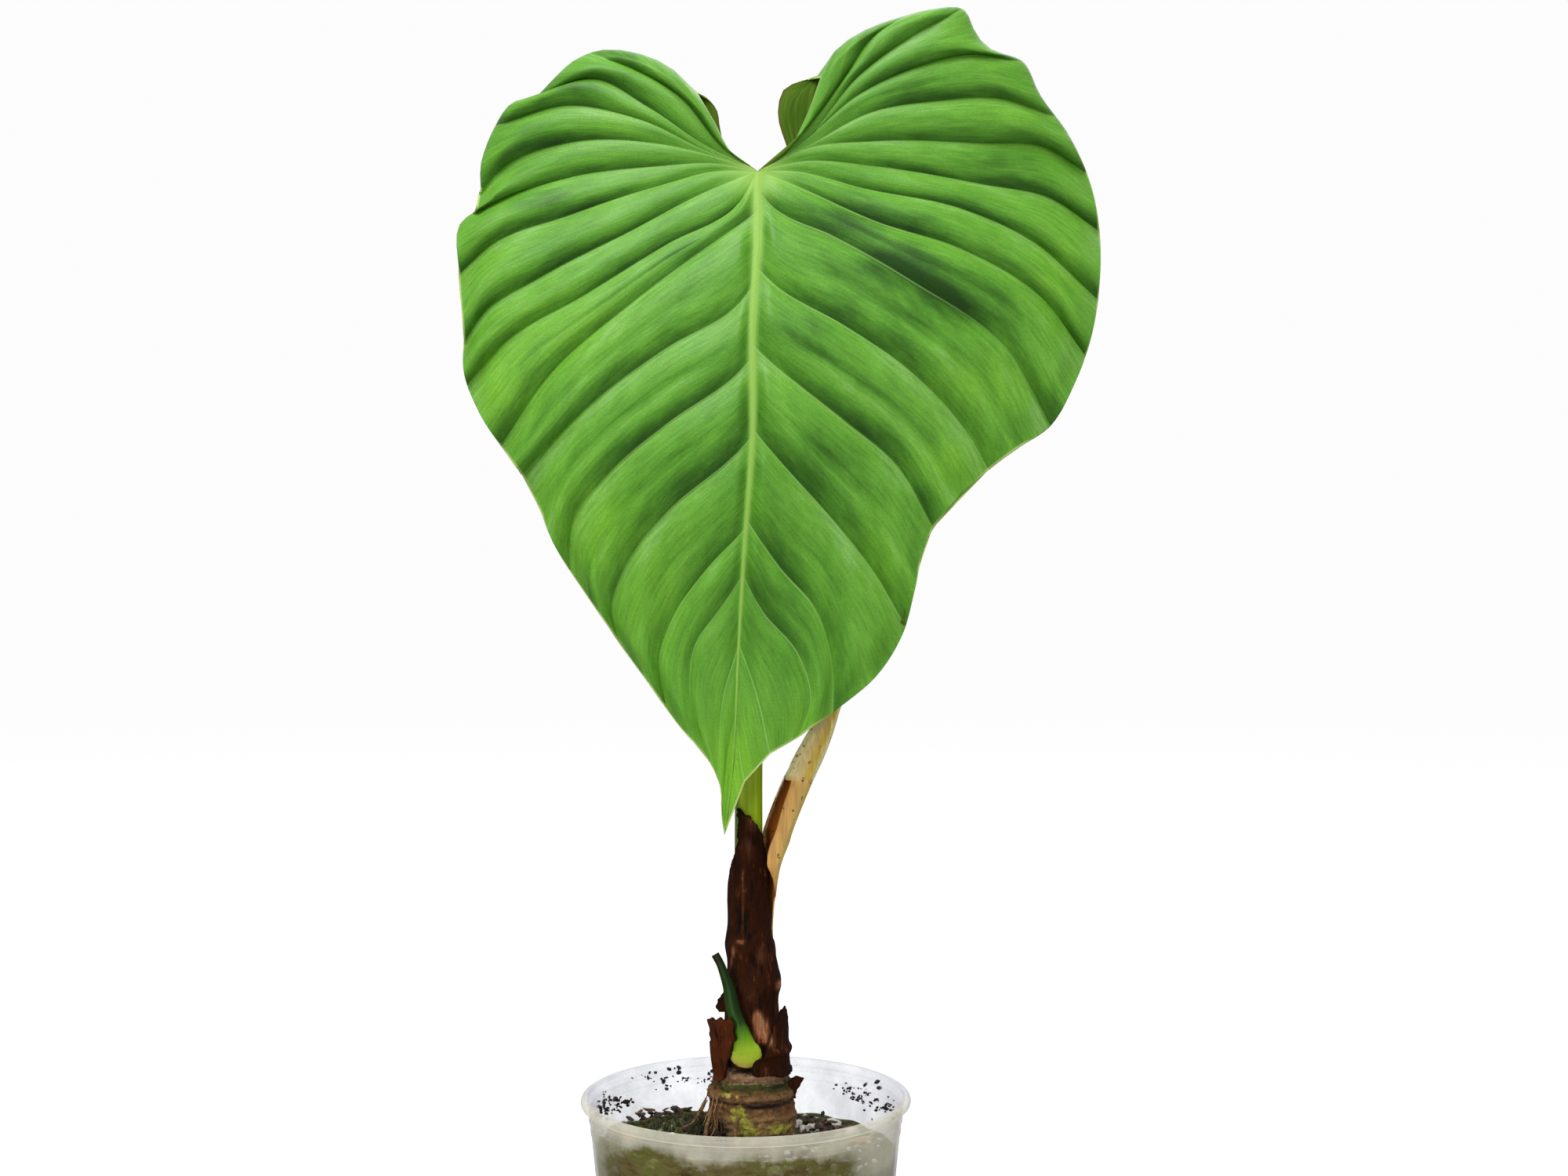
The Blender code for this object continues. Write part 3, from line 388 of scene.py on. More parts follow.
def laid_grid(name, points, facts=None):
    """A grid primitive whose vertices are laid on rows x columns of points, in millimetres.

    facts are per-vertex numbers that its material reads as attributes.
    """
    points = np.asarray(points, float)
    rows, columns = points.shape[:2]
    piece = primitive("grid", name, x_subdivisions=columns - 1, y_subdivisions=rows - 1, size=1)
    mesh = piece.data
    flat = np.empty(len(mesh.vertices) * 3, np.float32)
    mesh.vertices.foreach_get("co", flat)
    flat = flat.reshape(-1, 3)
    order = np.lexsort((np.round(flat[:, 0], 5), np.round(flat[:, 1], 5)))
    placed = np.empty_like(flat)
    placed[order] = points.reshape(-1, 3) * MM
    mesh.vertices.foreach_set("co", placed.ravel())
    for fact, values in (facts or {}).items():
        column = np.empty(len(order), np.float32)
        column[order] = np.broadcast_to(values, (rows, columns)).ravel()
        set_fact(piece, fact, column)
    mesh.update()
    return piece


def only(piece):
    """Makes piece the one selected, active object."""
    bpy.ops.object.select_all(action="DESELECT")
    piece.select_set(True)
    bpy.context.view_layer.objects.active = piece


def welded(piece, within=0.002, recalculate=True):
    """Merges doubled vertices, in millimetres, and turns the faces outward."""
    only(piece)
    bpy.ops.object.mode_set(mode="EDIT")
    bpy.ops.mesh.select_all(action="SELECT")
    bpy.ops.mesh.remove_doubles(threshold=within * MM)
    bpy.ops.mesh.dissolve_degenerate(threshold=1e-7)
    if recalculate:
        bpy.ops.mesh.select_all(action="SELECT")
        bpy.ops.mesh.normals_make_consistent(inside=False)
    bpy.ops.object.mode_set(mode="OBJECT")


def joined(name, parts):
    """Joins parts into the first of them and gives it name."""
    bpy.ops.object.select_all(action="DESELECT")
    for part in parts:
        part.select_set(True)
    bpy.context.view_layer.objects.active = parts[0]
    bpy.ops.object.join()
    parts[0].name = name
    parts[0].data.name = name
    return parts[0]


def thickened(piece, thickness, under=False):
    """Gives a sheet its thickness in millimetres; under moves its far side to the second material."""
    only(piece)
    skin = piece.modifiers.new("thickness", "SOLIDIFY")
    skin.thickness = thickness * MM
    skin.offset = 0.0
    skin.material_offset = 1 if under else 0
    bpy.ops.object.modifier_apply(modifier=skin.name)


def turned(name, profile, steps, axis=(0.0, 0.0)):
    """Extrudes a profile of (radius, height) from one vertex and spins it, as on a lathe."""
    start = (axis[0] + profile[0][0], axis[1], profile[0][1])
    piece = primitive("plane", name, size=MM, location=[c * MM for c in start])
    bpy.ops.object.transform_apply(location=True)
    bpy.ops.object.mode_set(mode="EDIT")
    bpy.ops.mesh.select_all(action="SELECT")
    bpy.ops.mesh.merge(type="CENTER")
    for (r0, z0), (r1, z1) in zip(profile, profile[1:]):
        step = ((r1 - r0) * MM, 0, (z1 - z0) * MM)
        bpy.ops.mesh.extrude_region_move(TRANSFORM_OT_translate={"value": step})
    bpy.ops.mesh.select_all(action="SELECT")
    bpy.ops.mesh.spin(
        steps=steps, angle=2 * math.pi, center=(axis[0] * MM, axis[1] * MM, 0), axis=(0, 0, 1),
    )
    bpy.ops.object.mode_set(mode="OBJECT")
    welded(piece, 0.005)
    return piece


def moved_verts(piece, change):
    """Passes the vertices, in millimetres, through change and puts them back."""
    changed = change(places_of(piece))
    piece.data.vertices.foreach_set("co", (changed * MM).astype(np.float32).ravel())
    piece.data.update()


def set_fact(piece, fact, values):
    """Stores one number per vertex for the material to read."""
    stored = piece.data.attributes.new(fact, "FLOAT", "POINT")
    stored.data.foreach_set("value", np.asarray(values, np.float32))


def places_of(piece):
    """The vertices in millimetres."""
    places = np.empty(len(piece.data.vertices) * 3, np.float32)
    piece.data.vertices.foreach_get("co", places)
    return places.reshape(-1, 3).astype(float) / MM


def tube_grid(path, half_widths, half_depths, sides, flute=None):
    """Rows of points round a route, closed at both ends; flute(angle, row) scales the section."""
    path = np.asarray(path, float)
    along = np.gradient(path, axis=0)
    along /= np.linalg.norm(along, axis=1)[:, None]
    across = np.cross(along, (0.0, 1.0, 0.0))
    across /= np.linalg.norm(across, axis=1)[:, None]
    deep = np.cross(along, across)
    angles = np.linspace(0, 2 * np.pi, sides + 1)
    rings = []
    for i, middle in enumerate(path):
        scale = np.ones(sides + 1) if flute is None else flute(angles, i / (len(path) - 1))
        offset = np.outer(half_widths[i] * scale * np.cos(angles), across[i])
        offset += np.outer(half_depths[i] * scale * np.sin(angles), deep[i])
        rings.append(middle + offset)
    caps = [
        [rings[0] * share + path[0] * (1 - share) for share in (0.0, 0.45, 0.8)],
        [rings[-1] * share + path[-1] * (1 - share) for share in (0.8, 0.45, 0.0)],
    ]
    return np.array(caps[0] + rings + caps[1])


def finish_piece(piece, material, slot, *nodes, smooth=math.radians(60)):
    """Shades, finishes and fixes a piece to the frame, standing for nodes."""
    only(piece)
    bpy.ops.object.shade_smooth_by_angle(angle=smooth)
    if material is not None:
        piece.data.materials.clear()
        piece.data.materials.append(material)
    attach(piece, "root")
    if nodes:
        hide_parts(*nodes)


# ---------------------------------------------------------------- material helpers


def fill_sockets(node, sockets):
    """Gives each named or numbered socket its value or its link."""
    for key, value in sockets.items():
        if isinstance(value, bpy.types.NodeSocket):
            node.id_data.links.new(value, node.inputs[key])
        else:
            node.inputs[key].default_value = value


def add_node(tree, kind, sockets=None, stops=None, **settings):
    """Adds a node with its settings; each socket gets a value or a link, a ramp gets its stops."""
    node = tree.nodes.new("ShaderNode" + kind)
    for name, value in settings.items():
        setattr(node, name, value)
    fill_sockets(node, sockets or {})
    if stops:
        elements = node.color_ramp.elements
        while len(elements) < len(stops):
            elements.new(0.5)
        for element, (position, colour) in zip(elements, stops):
            element.position = position
            element.color = linear(colour) if isinstance(colour, str) else (colour, colour, colour, 1)
    return node


def new_material(name):
    """A plain Principled material and its tree."""
    material = bpy.data.materials.new(name)
    material.use_nodes = True
    return material, material.node_tree


def dressed(material, sockets, height=None, strength=0.0, distance=0.0):
    """The material with its shader's sockets filled and a relief, distance in metres, laid on."""
    tree = material.node_tree
    if height is not None:
        relief = {"Height": height, "Strength": strength, "Distance": distance}
        sockets = {**sockets, "Normal": add_node(tree, "Bump", relief).outputs[0]}
    fill_sockets(tree.nodes["Principled BSDF"], sockets)
    return material


def object_place(tree):
    """The piece's own coordinates, which are the frame's, in metres."""
    return add_node(tree, "TexCoord").outputs["Object"]


def read_fact(tree, name):
    """A number that the piece stores at each vertex."""
    return add_node(tree, "Attribute", attribute_name=name).outputs["Fac"]


def maths(tree, operation, first, second, third=0.0, use_clamp=False):
    """Two numbers put through an operation, or three for MULTIPLY_ADD."""
    sockets = {0: first, 1: second, 2: third}
    return add_node(tree, "Math", sockets, operation=operation, use_clamp=use_clamp).outputs[0]


def ranged(tree, value, start=0.0, end=1.0, low=0.0, high=1.0, **settings):
    """A number moved from the range start to end onto the range low to high, and kept in it."""
    sockets = {"Value": value, "From Min": start, "From Max": end, "To Min": low, "To Max": high}
    return add_node(tree, "MapRange", sockets, **settings).outputs[0]


def noise(tree, place, scale, detail=2.0, roughness=0.5):
    """Cloudy noise; its features are about 1 / scale across."""
    sockets = {"Vector": place, "Scale": scale, "Detail": detail, "Roughness": roughness}
    return add_node(tree, "TexNoise", sockets).outputs["Fac"]


def stretched(tree, place, scale):
    """Coordinates scaled along each axis."""
    return add_node(tree, "Mapping", {"Vector": place, "Scale": scale}).outputs[0]


def ramp(tree, share, stops):
    """A colour read from stops of a position and a hex colour or a grey."""
    return add_node(tree, "ValToRGB", {"Fac": share}, stops=stops).outputs["Color"]


def blend(tree, share, under, over, blend_type="MIX"):
    """One colour mixed with another, a hex colour or a link, by share."""
    sockets = {0: share, 6: under, 7: linear(over) if isinstance(over, str) else over}
    return add_node(tree, "Mix", sockets, data_type="RGBA", blend_type=blend_type).outputs[2]


def leaf_upper_skin(colours):
    """Living leaf, upper skin: waxy cuticle over green tissue, with pale sunken veins.

    The eye sees fine streaks along the veins, yellow-green clouds and a thin pale margin.
    """
    material, tree = new_material("Living leaf, waxy upper skin")
    vein, shade, warm, along, lay, midrib, edge, root = (
        read_fact(tree, fact)
        for fact in ("vein", "shade", "warm", "along", "lay", "midrib", "edge", "root")
    )
    # Clouds 8 to 20 mm across, streaks 0.5 mm wide and 12 mm long.
    place = add_node(tree, "CombineXYZ", {"X": along, "Y": lay, "Z": 0.0}).outputs[0]
    clouds, streaks = (
        noise(tree, stretched(tree, place, scale), 1.0, detail, 0.6)
        for scale, detail in (((0.04, 0.13, 1), 4.0), ((0.08, 1.4, 1), 4.0))
    )
    grain = noise(tree, object_place(tree), 1500.0, 2.0)
    cloudy = ranged(tree, clouds, 0.3, 0.7, -0.42, 0.38)
    # The shade fact is painted sheen and painted shade: its low end takes the deep greens and its high end
    # the pale sheen.
    depth = maths(tree, "ADD", shade, cloudy)
    depth = ranged(tree, depth, -1.4)
    green = ramp(
        tree, depth,
        (
            (0.0, colours.deepest), (0.25, colours.deep), (0.5, colours.middle), (0.68, colours.bright),
            (0.92, colours.sheen),
        ),
    )
    glow = maths(tree, "MULTIPLY", warm, clouds)
    green = blend(tree, glow, green, colours.warm)
    for marks, low, high in ((streaks, 0.78, 1.2), (grain, 0.9, 1.1)):
        fine = ramp(tree, marks, ((0.3, low), (0.5, 1.0), (0.7, high)))
        green = blend(tree, 1.0, green, fine, blend_type="MULTIPLY")
    # A vein line 0.5 mm wide, paler near the midrib.
    vein_line = ranged(tree, vein, 0.1, 0.5, 1.0, 0.0)
    vein_fade = ranged(tree, along, 5.0, 110.0, 0.8, 0.25)
    vein_share = maths(tree, "MULTIPLY", vein_line, vein_fade)
    green = blend(tree, vein_share, green, colours.vein)
    rib_share = ramp(
        tree, maths(tree, "MULTIPLY", midrib, 0.5), ((0.0, 0.95), (0.3, 0.8), (0.5, 0.3), (0.85, 0.0)),
    )
    green = blend(tree, rib_share, green, colours.midrib)
    lit = ranged(tree, root, 2.0, 17.0, 0.7, 0.0, interpolation_type="SMOOTHSTEP")
    green = blend(tree, lit, green, colours.midrib)
    rim = ranged(tree, edge, 0.45, 1.15, 0.9, 0.0)
    green = blend(tree, rim, green, colours.margin)
    relief = maths(tree, "ADD", streaks, grain)
    return dressed(
        material, {"Base Color": green, "Roughness": 0.45, "Specular IOR Level": 0.28}, relief, 0.3,
        0.00025,
    )


def leaf_under_skin(colours):
    """Living leaf, lower skin: duller olive green with reddish-brown veins that stand proud."""
    material, tree = new_material("Living leaf, dull lower skin")
    vein = read_fact(tree, "vein")
    along = read_fact(tree, "along")
    lay = read_fact(tree, "lay")
    place = add_node(tree, "CombineXYZ", {"X": along, "Y": lay, "Z": 0.0}).outputs[0]
    streaks = noise(tree, stretched(tree, place, (0.05, 0.9, 1)), 1.0, 4.0)
    green = ramp(tree, streaks, ((0.3, "#3c5f08"), (0.5, "#4f7312"), (0.7, "#6a8a2a")))
    vein_line = ranged(tree, vein, 0.4, 1.3, 0.8, 0.0)
    green = blend(tree, vein_line, green, colours.under_vein)
    return dressed(
        material,
        {"Base Color": green, "Roughness": 0.6, "Specular IOR Level": 0.15, "IOR": 1.45},
        streaks, 0.3, 0.0004,
    )


def petiole_skin():
    """Living petiole: smooth yellow-green skin with faint lengthwise lines and painted shade down its left
    side.
    """
    material, tree = new_material("Living petiole, smooth skin")
    place = stretched(tree, object_place(tree), (900, 900, 22))
    lines = noise(tree, place, 1.0, 3.0)
    painted_shade_side = read_fact(tree, "painted_shade_side")
    height = read_fact(tree, "height")
    green = ramp(tree, lines, ((0.3, "#84a408"), (0.5, "#98b414"), (0.7, "#acc634")))
    pale = ranged(tree, height, 0.55, 1.0, 0.0, 0.75)
    green = blend(tree, pale, green, "#a4cf5c")
    # Painted shade on the left side of the petiole.
    green = blend(tree, painted_shade_side, green, "#3a5228")
    return dressed(
        material, {"Base Color": green, "Roughness": 0.38, "Specular IOR Level": 0.25, "IOR": 1.45},
        lines, 0.25, 0.0004,
    )


def stub_skin():
    """Cut petiole stub: deep green above, yellow-green at its foot, a brown callus on the cut, and painted
    shade on its sides.
    """
    material, tree = new_material("Cut petiole stub, healed skin")
    height = read_fact(tree, "height")
    place = stretched(tree, object_place(tree), (700, 700, 40))
    lines = noise(tree, place, 1.0, 3.0)
    wobble = maths(tree, "MULTIPLY_ADD", lines, 0.12, height)
    green = ramp(
        tree, wobble,
        (
            (0.05, "#a08a50"), (0.1, "#8f962e"), (0.22, "#7c9a20"), (0.34, "#45700f"),
            (0.44, "#1e4006"), (0.8, "#122c04"), (1.0, "#152604"), (1.06, "#241408"),
        ),
    )
    painted_shade_side = read_fact(tree, "painted_shade_side")
    # Painted shade on the stub's right side and far left edge.
    green = blend(tree, painted_shade_side, green, "#0e2404")
    return dressed(
        material, {"Base Color": green, "Specular IOR Level": 0.12, "Roughness": 0.45, "IOR": 1.45},
        lines, 0.3, 0.0004,
    )


def dry_sheath_skin(name, dark, middle, light, rust):
    """Dried sheath leaf: shrunken brown skin, fibrous along its length, charred at its edges.

    Rust is the paler torn flesh where the outer skin has worn away.
    """
    material, tree = new_material(name)
    rusty, rim = (read_fact(tree, fact) for fact in ("rust", "rim"))
    place = object_place(tree)
    fibres_at = stretched(tree, place, (1100, 1100, 60))
    fibres = noise(tree, fibres_at, 1.0, 5.0, 0.7)
    patches_at = stretched(tree, place, (260, 260, 90))
    patches = noise(tree, patches_at, 1.0, 6.0, 0.7)
    total = maths(tree, "MULTIPLY_ADD", fibres, 0.45, patches)
    brown = ramp(
        tree, ranged(tree, total, 0.5, 0.98),
        ((0.2, dark), (0.42, middle), (0.66, middle), (0.96, light)),
    )
    torn = ramp(tree, fibres, ((0.36, middle), (0.44, rust), (0.52, "#885a3e"), (0.64, "#a67c5a")))
    uneven = maths(tree, "MULTIPLY_ADD", patches, 1.4, -0.7)
    share = maths(tree, "ADD", rusty, uneven, use_clamp=True)
    share = maths(tree, "MULTIPLY", share, rusty, use_clamp=True)
    brown = blend(tree, share, brown, torn)
    charred = ranged(tree, rim, 0.2, 1.1, 0.9, 0.0)
    brown = blend(tree, charred, brown, "#120a06")
    rough = ranged(tree, patches, 0.35, 0.65, 0.55, 0.9)
    return dressed(
        material, {"Base Color": brown, "Roughness": rough, "Specular IOR Level": 0.05}, total, 0.9,
        0.0012,
    )


def fading_sheath_skin(name, stops):
    """Fading sheath leaf: papery skin, coloured in stripes along it, with thin fibres and brown specks."""
    material, tree = new_material(name)
    across, wing = (read_fact(tree, fact) for fact in ("across", "wing"))
    place = object_place(tree)
    fibres_at = stretched(tree, place, (700, 700, 40))
    fibres = noise(tree, fibres_at, 1.0, 5.0, 0.6)
    at = maths(tree, "MULTIPLY_ADD", fibres, 0.16, across)
    at = maths(tree, "SUBTRACT", at, 0.08)
    tan = ramp(tree, at, stops)
    tan = blend(tree, wing, tan, "#f2e0a6")
    shade = ramp(tree, fibres, ((0.35, 0.82), (0.5, 1.0), (0.65, 1.15)))
    tan = blend(tree, 1.0, tan, shade, blend_type="MULTIPLY")
    specks = noise(tree, place, 330.0, 2.0, 0.6)
    speck = ranged(tree, specks, 0.65, 0.69, 0.0, 0.85)
    tan = blend(tree, speck, tan, "#5a3212")
    return dressed(
        material, {"Base Color": tan, "Roughness": 0.5, "Specular IOR Level": 0.15}, fibres, 0.4,
        0.0005,
    )


def stem_bark():
    """Short stem: ringed corky skin, brown and dark olive, with a pale ring scar and green patches."""
    material, tree = new_material("Stem, ringed corky skin")
    height, green, dark, red = (read_fact(tree, fact) for fact in ("height", "green", "dark", "red"))
    place = object_place(tree)
    rough = noise(tree, place, 420.0, 7.0, 0.75)
    flakes_at = stretched(tree, place, (150, 150, 620))
    flakes = noise(tree, flakes_at, 1.0, 6.0, 0.7)
    wobble = ranged(tree, flakes, 0.35, 0.65, -1.3, 1.3)
    at = maths(tree, "ADD", height, wobble)
    # Heights from 98 to 130 mm above the pot's foot.
    share = ranged(tree, at, 98.0, 130.0)
    # The dark band at 0.568 is painted shade in a crevice, and the dark top stop at 0.94 is painted shadow
    # under the stub and sheaths.
    bands = ramp(
        tree, share,
        (
            (0.0, "#8a7444"), (0.3, "#94764a"), (0.54, "#7c5636"), (0.568, "#2c1a0c"), (0.6, "#6e5238"),
            (0.64, "#78583c"), (0.7, "#6c5028"), (0.725, "#3a3a14"), (0.79, "#484a20"),
            (0.8, "#9c8464"), (0.812, "#4a3c20"), (0.835, "#8a6a4c"), (0.91, "#a07c5c"),
            (0.94, "#2c1e0e"),
        ),
    )
    broken = maths(tree, "MULTIPLY_ADD", rough, 2.2, -1.1)
    # The dark fact adds painted shade and shadow as well as the other darker spots.
    for fact, colour in ((green, "#aaa640"), (red, "#743818"), (dark, "#150e08")):
        amount = maths(tree, "ADD", broken, fact)
        amount = ranged(tree, amount, 0.35, 0.65, 0.0, 0.9)
        bands = blend(tree, amount, bands, colour)
    shade = ramp(tree, rough, ((0.34, 0.3), (0.45, 0.85), (0.56, 1.25), (0.66, 1.8)))
    bands = blend(tree, 1.0, bands, shade, blend_type="MULTIPLY")
    relief = maths(tree, "ADD", rough, flakes)
    return dressed(
        material, {"Base Color": bands, "Roughness": 0.75, "Specular IOR Level": 0.2}, relief, 1.0,
        0.002,
    )


def pot_plastic(clearness, tint):
    """Polypropylene, injection moulded and unpigmented: milky, half clear and softly glossy.

    What lies behind it shows dimly, and lime and dried splashes make it whiter in patches.
    """
    material, tree = new_material("Natural polypropylene, moulded")
    place = object_place(tree)
    haze = noise(tree, place, 60.0, 8.0, 0.65)
    body = ranged(tree, haze, 0.35, 0.65, 0.9 - clearness, 1.1 - clearness)
    # A thin film of algae lines the wall above the mix and thins out to the left.
    spread = add_node(tree, "SeparateXYZ", {0: place})
    film = maths(tree, "MULTIPLY_ADD", haze, 0.014, spread.outputs[2])
    film = ramp(tree, film, FILM_HEIGHTS)
    sideways = maths(tree, "ADD", spread.outputs[0], 0.07)
    to_side = ramp(
        tree, sideways, ((0.012, 0.15), (0.03, 1.0), (0.1, 1.0), (0.115, 0.15), (0.122, 0.05)),
    )
    blotches_at = stretched(tree, place, (75, 75, 210))
    blotches = noise(tree, blotches_at, 1.0, 9.0, 0.7)
    patchy = ranged(tree, blotches, 0.4, 0.6, 0.55)
    # Toward the front the plastic gets painted light, whiter, warmer and more opaque; the algae film also
    # keeps to the front.
    painted_front_light_and_film_reach = ranged(tree, spread.outputs[1], 0.012, -0.02)
    for factor in (to_side, painted_front_light_and_film_reach, patchy):
        film = maths(tree, "MULTIPLY", film, factor)
    algae = ramp(
        tree, blotches,
        ((0.36, "#42381a"), (0.45, "#6e5f30"), (0.53, "#7c7440"), (0.59, "#6c7428"), (0.68, "#a8a070")),
    )
    # Painted light: the front of the wall turns whiter and warmer.
    warm = blend(tree, painted_front_light_and_film_reach, tint, "#f6f2e0")
    beads = ramp(tree, spread.outputs[2], BEAD_LINES)
    film = maths(tree, "MULTIPLY", film, maths(tree, "SUBTRACT", 1.0, beads))
    covered = maths(tree, "MULTIPLY", film, 2.6, use_clamp=True)
    colour = blend(tree, covered, warm, algae)
    shader = tree.nodes["Principled BSDF"]
    fill_sockets(shader, {"Base Color": colour, "Roughness": 0.3, "IOR": 1.49})
    body = maths(tree, "MULTIPLY_ADD", film, 0.6, body)
    # Painted light: a more opaque body toward the front.
    body = maths(tree, "MULTIPLY_ADD", painted_front_light_and_film_reach, 0.14, body)
    body = maths(tree, "MULTIPLY_ADD", beads, 0.4, body)
    edge_on = add_node(tree, "LayerWeight", {"Blend": 0.25}).outputs["Facing"]
    body = maths(tree, "MULTIPLY_ADD", edge_on, 0.5, body, use_clamp=True)
    glow = add_node(tree, "BsdfTranslucent", {"Color": colour}).outputs[0]
    solid = add_node(tree, "MixShader", {0: 0.5, 1: shader.outputs[0], 2: glow}).outputs[0]
    clear = add_node(tree, "BsdfTransparent", {"Color": (0.97, 0.975, 0.98, 1)}).outputs[0]
    mixed = add_node(tree, "MixShader", {0: body, 1: clear, 2: solid}).outputs[0]
    tree.links.new(mixed, tree.nodes["Material Output"].inputs["Surface"])
    return material


def damp_mix():
    """Potting mix: damp dark crumbs, bark dust and pale grit, with algae under the pot's collar."""
    material, tree = new_material("Potting mix, damp crumbs")
    place = object_place(tree)
    crumbs = add_node(
        tree, "TexVoronoi", {"Vector": place, "Scale": 420.0, "Randomness": 1.0}, feature="F1"
    )
    fine = noise(tree, place, 700.0, 5.0, 0.7)
    crumb_colour = ramp(
        tree, add_node(tree, "SeparateXYZ", {0: crumbs.outputs["Color"]}).outputs[0],
        (
            (0.0, "#120e08"), (0.45, "#2a2110"), (0.7, "#41301a"), (0.86, "#5a4526"), (0.93, "#6d6a3a"),
            (0.985, "#b9b39a"),
        ),
    )
    height = add_node(tree, "SeparateXYZ", {0: place}).outputs[2]
    wide = noise(tree, place, 55.0, 4.0, 0.6)
    lift = ranged(tree, wide, 0.3, 0.7, -0.008, 0.008)
    at = maths(tree, "ADD", height, lift)
    algae = ranged(tree, at, 0.083, 0.093, 0.0, 0.85)
    wall = read_fact(tree, "wall")
    algae = maths(tree, "MULTIPLY", algae, wall)
    algae_colour = ramp(tree, wide, ((0.35, "#4f4e17"), (0.5, "#5d6a14"), (0.65, "#6f9a1c")))
    colour = blend(tree, algae, crumb_colour, algae_colour)
    shade = ramp(tree, fine, ((0.3, 0.5), (0.5, 1.0), (0.7, 1.4)))
    colour = blend(tree, 1.0, colour, shade, blend_type="MULTIPLY")
    relief = maths(tree, "SUBTRACT", fine, crumbs.outputs["Distance"])
    return dressed(material, {"Base Color": colour, "Roughness": 0.85}, relief, 1.0, 0.0015)


def speckled(name, scale, stops, roughness, relief):
    """Rough natural lumps whose shade changes from piece to piece and in grains over each."""
    material, tree = new_material(name)
    place = object_place(tree)
    grains = noise(tree, place, scale, 6.0, 0.7)
    tone = read_fact(tree, "tone")
    at = maths(tree, "ADD", grains, tone)
    colour = ramp(tree, at, stops)
    return dressed(material, {"Base Color": colour, "Roughness": roughness}, grains, 0.9, relief)


# ---------------------------------------------------------------- settings


class PHILO_PG_leaf(bpy.types.PropertyGroup):
    thickness: bpy.props.FloatProperty(
        name="Thickness", description="Thickness of the blade", default=0.45 * MM, unit="LENGTH"
    )
    quilting: bpy.props.FloatProperty(
        name="Quilting", description="Height of a strip between two veins as a share of its width",
        default=0.15, subtype="FACTOR",
    )
    roll_radius: bpy.props.FloatProperty(
        name="Lobe roll", description="Radius of the rolled-back rear lobes", default=8 * MM, unit="LENGTH"
    )
    ruffle: bpy.props.FloatProperty(
        name="Ruffle", description="Swing of the margin", default=2.5 * MM, unit="LENGTH"
    )


class PHILO_PG_pot(bpy.types.PropertyGroup):
    height: bpy.props.FloatProperty(
        name="Height", description="Height of the pot", default=round(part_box("nursery_pot")[1][2], 4),
        unit="LENGTH",
    )
    clearness: bpy.props.FloatProperty(
        name="Clearness", description="Share of light that passes straight through each face",
        default=0.83, subtype="FACTOR",
    )
    tint: bpy.props.FloatVectorProperty(
        name="Tint", description="Colour of the milky plastic", default=linear("#e4e3f2"), size=4,
        subtype="COLOR",
    )


class PHILO_PG_mix(bpy.types.PropertyGroup):
    crumbs: bpy.props.IntProperty(name="Crumbs", description="Loose crumbs on the mix", default=900)
    moss_shoots: bpy.props.IntProperty(
        name="Moss shoots", description="Shoots in each moss cushion", default=900
    )


class PHILO_PG_stage(bpy.types.PropertyGroup):
    lens: bpy.props.FloatProperty(name="Lens", description="Focal length", default=45.38, unit="CAMERA")
    eye: bpy.props.FloatVectorProperty(
        name="Eye", description="Where the camera stands", default=tuple(EYE * MM), size=3,
        subtype="TRANSLATION",
    )


# ---------------------------------------------------------------- leaf


class LeafColours:
    deepest = "#204a08"
    deep = "#3a7014"
    middle = "#5a9a28"
    bright = "#69a833"
    sheen = "#83b860"
    warm = "#7cbd22"
    vein = "#96c868"
    midrib = "#9ccc58"
    margin = "#b9cf78"
    under_vein = "#6a5a1e"


def in_depth(x, z, y):
    """Places points of the leaf's drawing at depth y, so that they look the same from EYE."""
    share = (y - EYE[1]) / -EYE[1]
    across = EYE[0] + (LEAF_JUNCTION[0] + x - EYE[0]) * share
    up = EYE[2] + (LEAF_JUNCTION[1] + z - EYE[2]) * share
    return np.stack([across, y, up], axis=-1)


def leaf_depth(x, z):
    """The blade hangs forward of its petiole and bows back towards its sides."""
    heights, depths = zip(*MIDRIB_DEPTHS[::-1])
    shares = np.linspace(0, 1, 200)
    smooth = curve_points(np.column_stack([heights, depths]), shares)
    middle = np.interp(z, smooth[:, 0], smooth[:, 1])
    return middle + LEAF_BOW * (x / LEAF_HALF_WIDTH) ** 2


def share_along(curve, point):
    """How far along a finely sampled curve, 0 to 1, it passes closest to point."""
    return np.argmin(np.linalg.norm(curve - np.asarray(point, float), axis=1)) / (len(curve) - 1)


def across_ribs(curves, numbers):
    """Curves at fractional rib numbers, blended smoothly from their neighbours."""
    slopes = np.gradient(curves, axis=0)
    low = np.clip(numbers.astype(int), 0, len(curves) - 2)
    t = (numbers - low)[:, None, None]
    return blend_ends(curves[low], curves[low + 1], slopes[low], slopes[low + 1], t)


